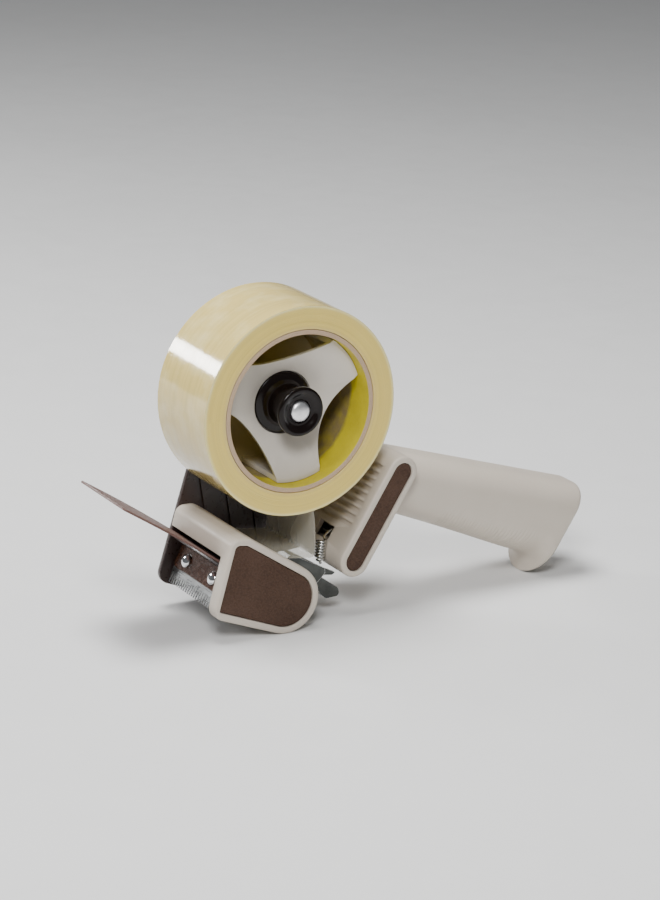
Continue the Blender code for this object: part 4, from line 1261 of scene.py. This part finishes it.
def all_materials():
    along, across, even = (0.15, 1.0, 1.0), (1.0, 0.1, 1.0), (1, 1, 1)
    steels = {
        "zinc_steel": ((0.58, 0.58, 0.56), 0.24, 0.42, across),
        "blade_steel": ((0.52, 0.53, 0.53), 0.22, 0.4, across),
        # The lever's last colour is a painted highlight along its edges.
        "lever_steel": ((0.085, 0.088, 0.084), 0.26, 0.42, along, (0.95, 0.95, 0.92)),
        "spring_wire": ((0.70, 0.70, 0.68), 0.16, 0.3, even),
        "chrome": ((0.82, 0.83, 0.84), 0.07, 0.16, even),
        "bright_cap": ((0.95, 0.95, 0.96), 0.30, 0.42, even),
    }
    others = (putty_plastic, brown_panel, frame_enamel, wiper_plastic, clamp_plastic, rubber, hub_plastic,
              core_cardboard, core_lining, clear_tape, tape_side, film_run, fibre, black_plastic)
    paint = {name: steel(name, *finish) for name, finish in steels.items()}
    paint.update({make.__name__: make() for make in others})
    return paint


# ---------------------------------------------------------------- stage

def camera():
    """Long lens at the product's front left, a little above it and rolled slightly."""
    azimuth, elevation, roll = math.radians(-31.22), math.radians(17.52), math.radians(2.60)
    offset = Vector((-0.6979, -1.2039, 0.4143))
    back = Vector((math.cos(elevation) * math.sin(azimuth), -math.cos(elevation) * math.cos(azimuth),
                   math.sin(elevation)))
    level = Vector((math.cos(azimuth), math.sin(azimuth), 0.0))
    right = level * math.cos(roll) + back.cross(level) * math.sin(roll)
    data = bpy.data.cameras.new("camera")
    data.lens, data.sensor_width, data.clip_end = 120.0, 36.0, 20.0
    seen = bpy.data.objects.new("camera", data)
    bpy.context.scene.collection.objects.link(seen)
    seen.matrix_world = Matrix((right, back.cross(right), back)).transposed().to_4x4()
    low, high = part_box("tape_roll")
    seen.matrix_world.translation = (low + high) / 2 + offset
    bpy.context.scene.camera = seen


def softbox(name, at, aim, size, power, colour=(1, 1, 1)):
    data = bpy.data.lights.new(name, "AREA")
    data.shape, data.size, data.size_y = "RECTANGLE", size[0], size[1]
    data.energy, data.color = power, colour
    lamp = bpy.data.objects.new(name, data)
    bpy.context.scene.collection.objects.link(lamp)
    direction = Vector(aim) - Vector(at)
    turned_to = direction.to_track_quat("-Z", "Y").to_matrix().to_4x4()
    lamp.matrix_world = Matrix.Translation(Vector(at)) @ turned_to


def stage():
    reach = 3.0
    bpy.ops.mesh.primitive_plane_add(size=2 * reach, location=(0, 0, 0))
    floor = bpy.context.object
    floor.name = "floor"
    floor.data.materials.append(floor_paper())
    world_light = bpy.data.worlds.new("studio")
    bpy.context.scene.world = world_light
    world_light.use_nodes = True
    world_light.node_tree.nodes["Background"].inputs["Color"].default_value = (0.95, 0.97, 1.0, 1.0)
    world_light.node_tree.nodes["Background"].inputs["Strength"].default_value = 0.15
    middle = (0.0, 0.0, 0.08)
    softbox("top_light", (-0.2, 0.15, 1.25), middle, (0.6, 0.5), 22.0)
    softbox("back_left_light", (-0.78, 1.2, 0.50), middle, (0.24, 0.2), 8.0)
    softbox("front_key", (-0.8, -1.1, 1.25), middle, (0.5, 0.5), 24.0)


def build():
    paint = all_materials()
    side_frame(paint)
    nose_housing(paint)
    blade_block(paint)
    blade_group(paint)
    wiper(paint)
    guide_roller(paint)
    nip_lever(paint)
    far_screws(paint)
    handle_body(paint)
    handle_back_cover(paint)
    return_spring(paint)
    tape_axle(paint)
    tape_hub(paint)
    tape_core(paint)
    tape_roll(paint)
    free_film(paint)
    tape_brake(paint)
    knob(paint)
    stage()
    camera()


build()
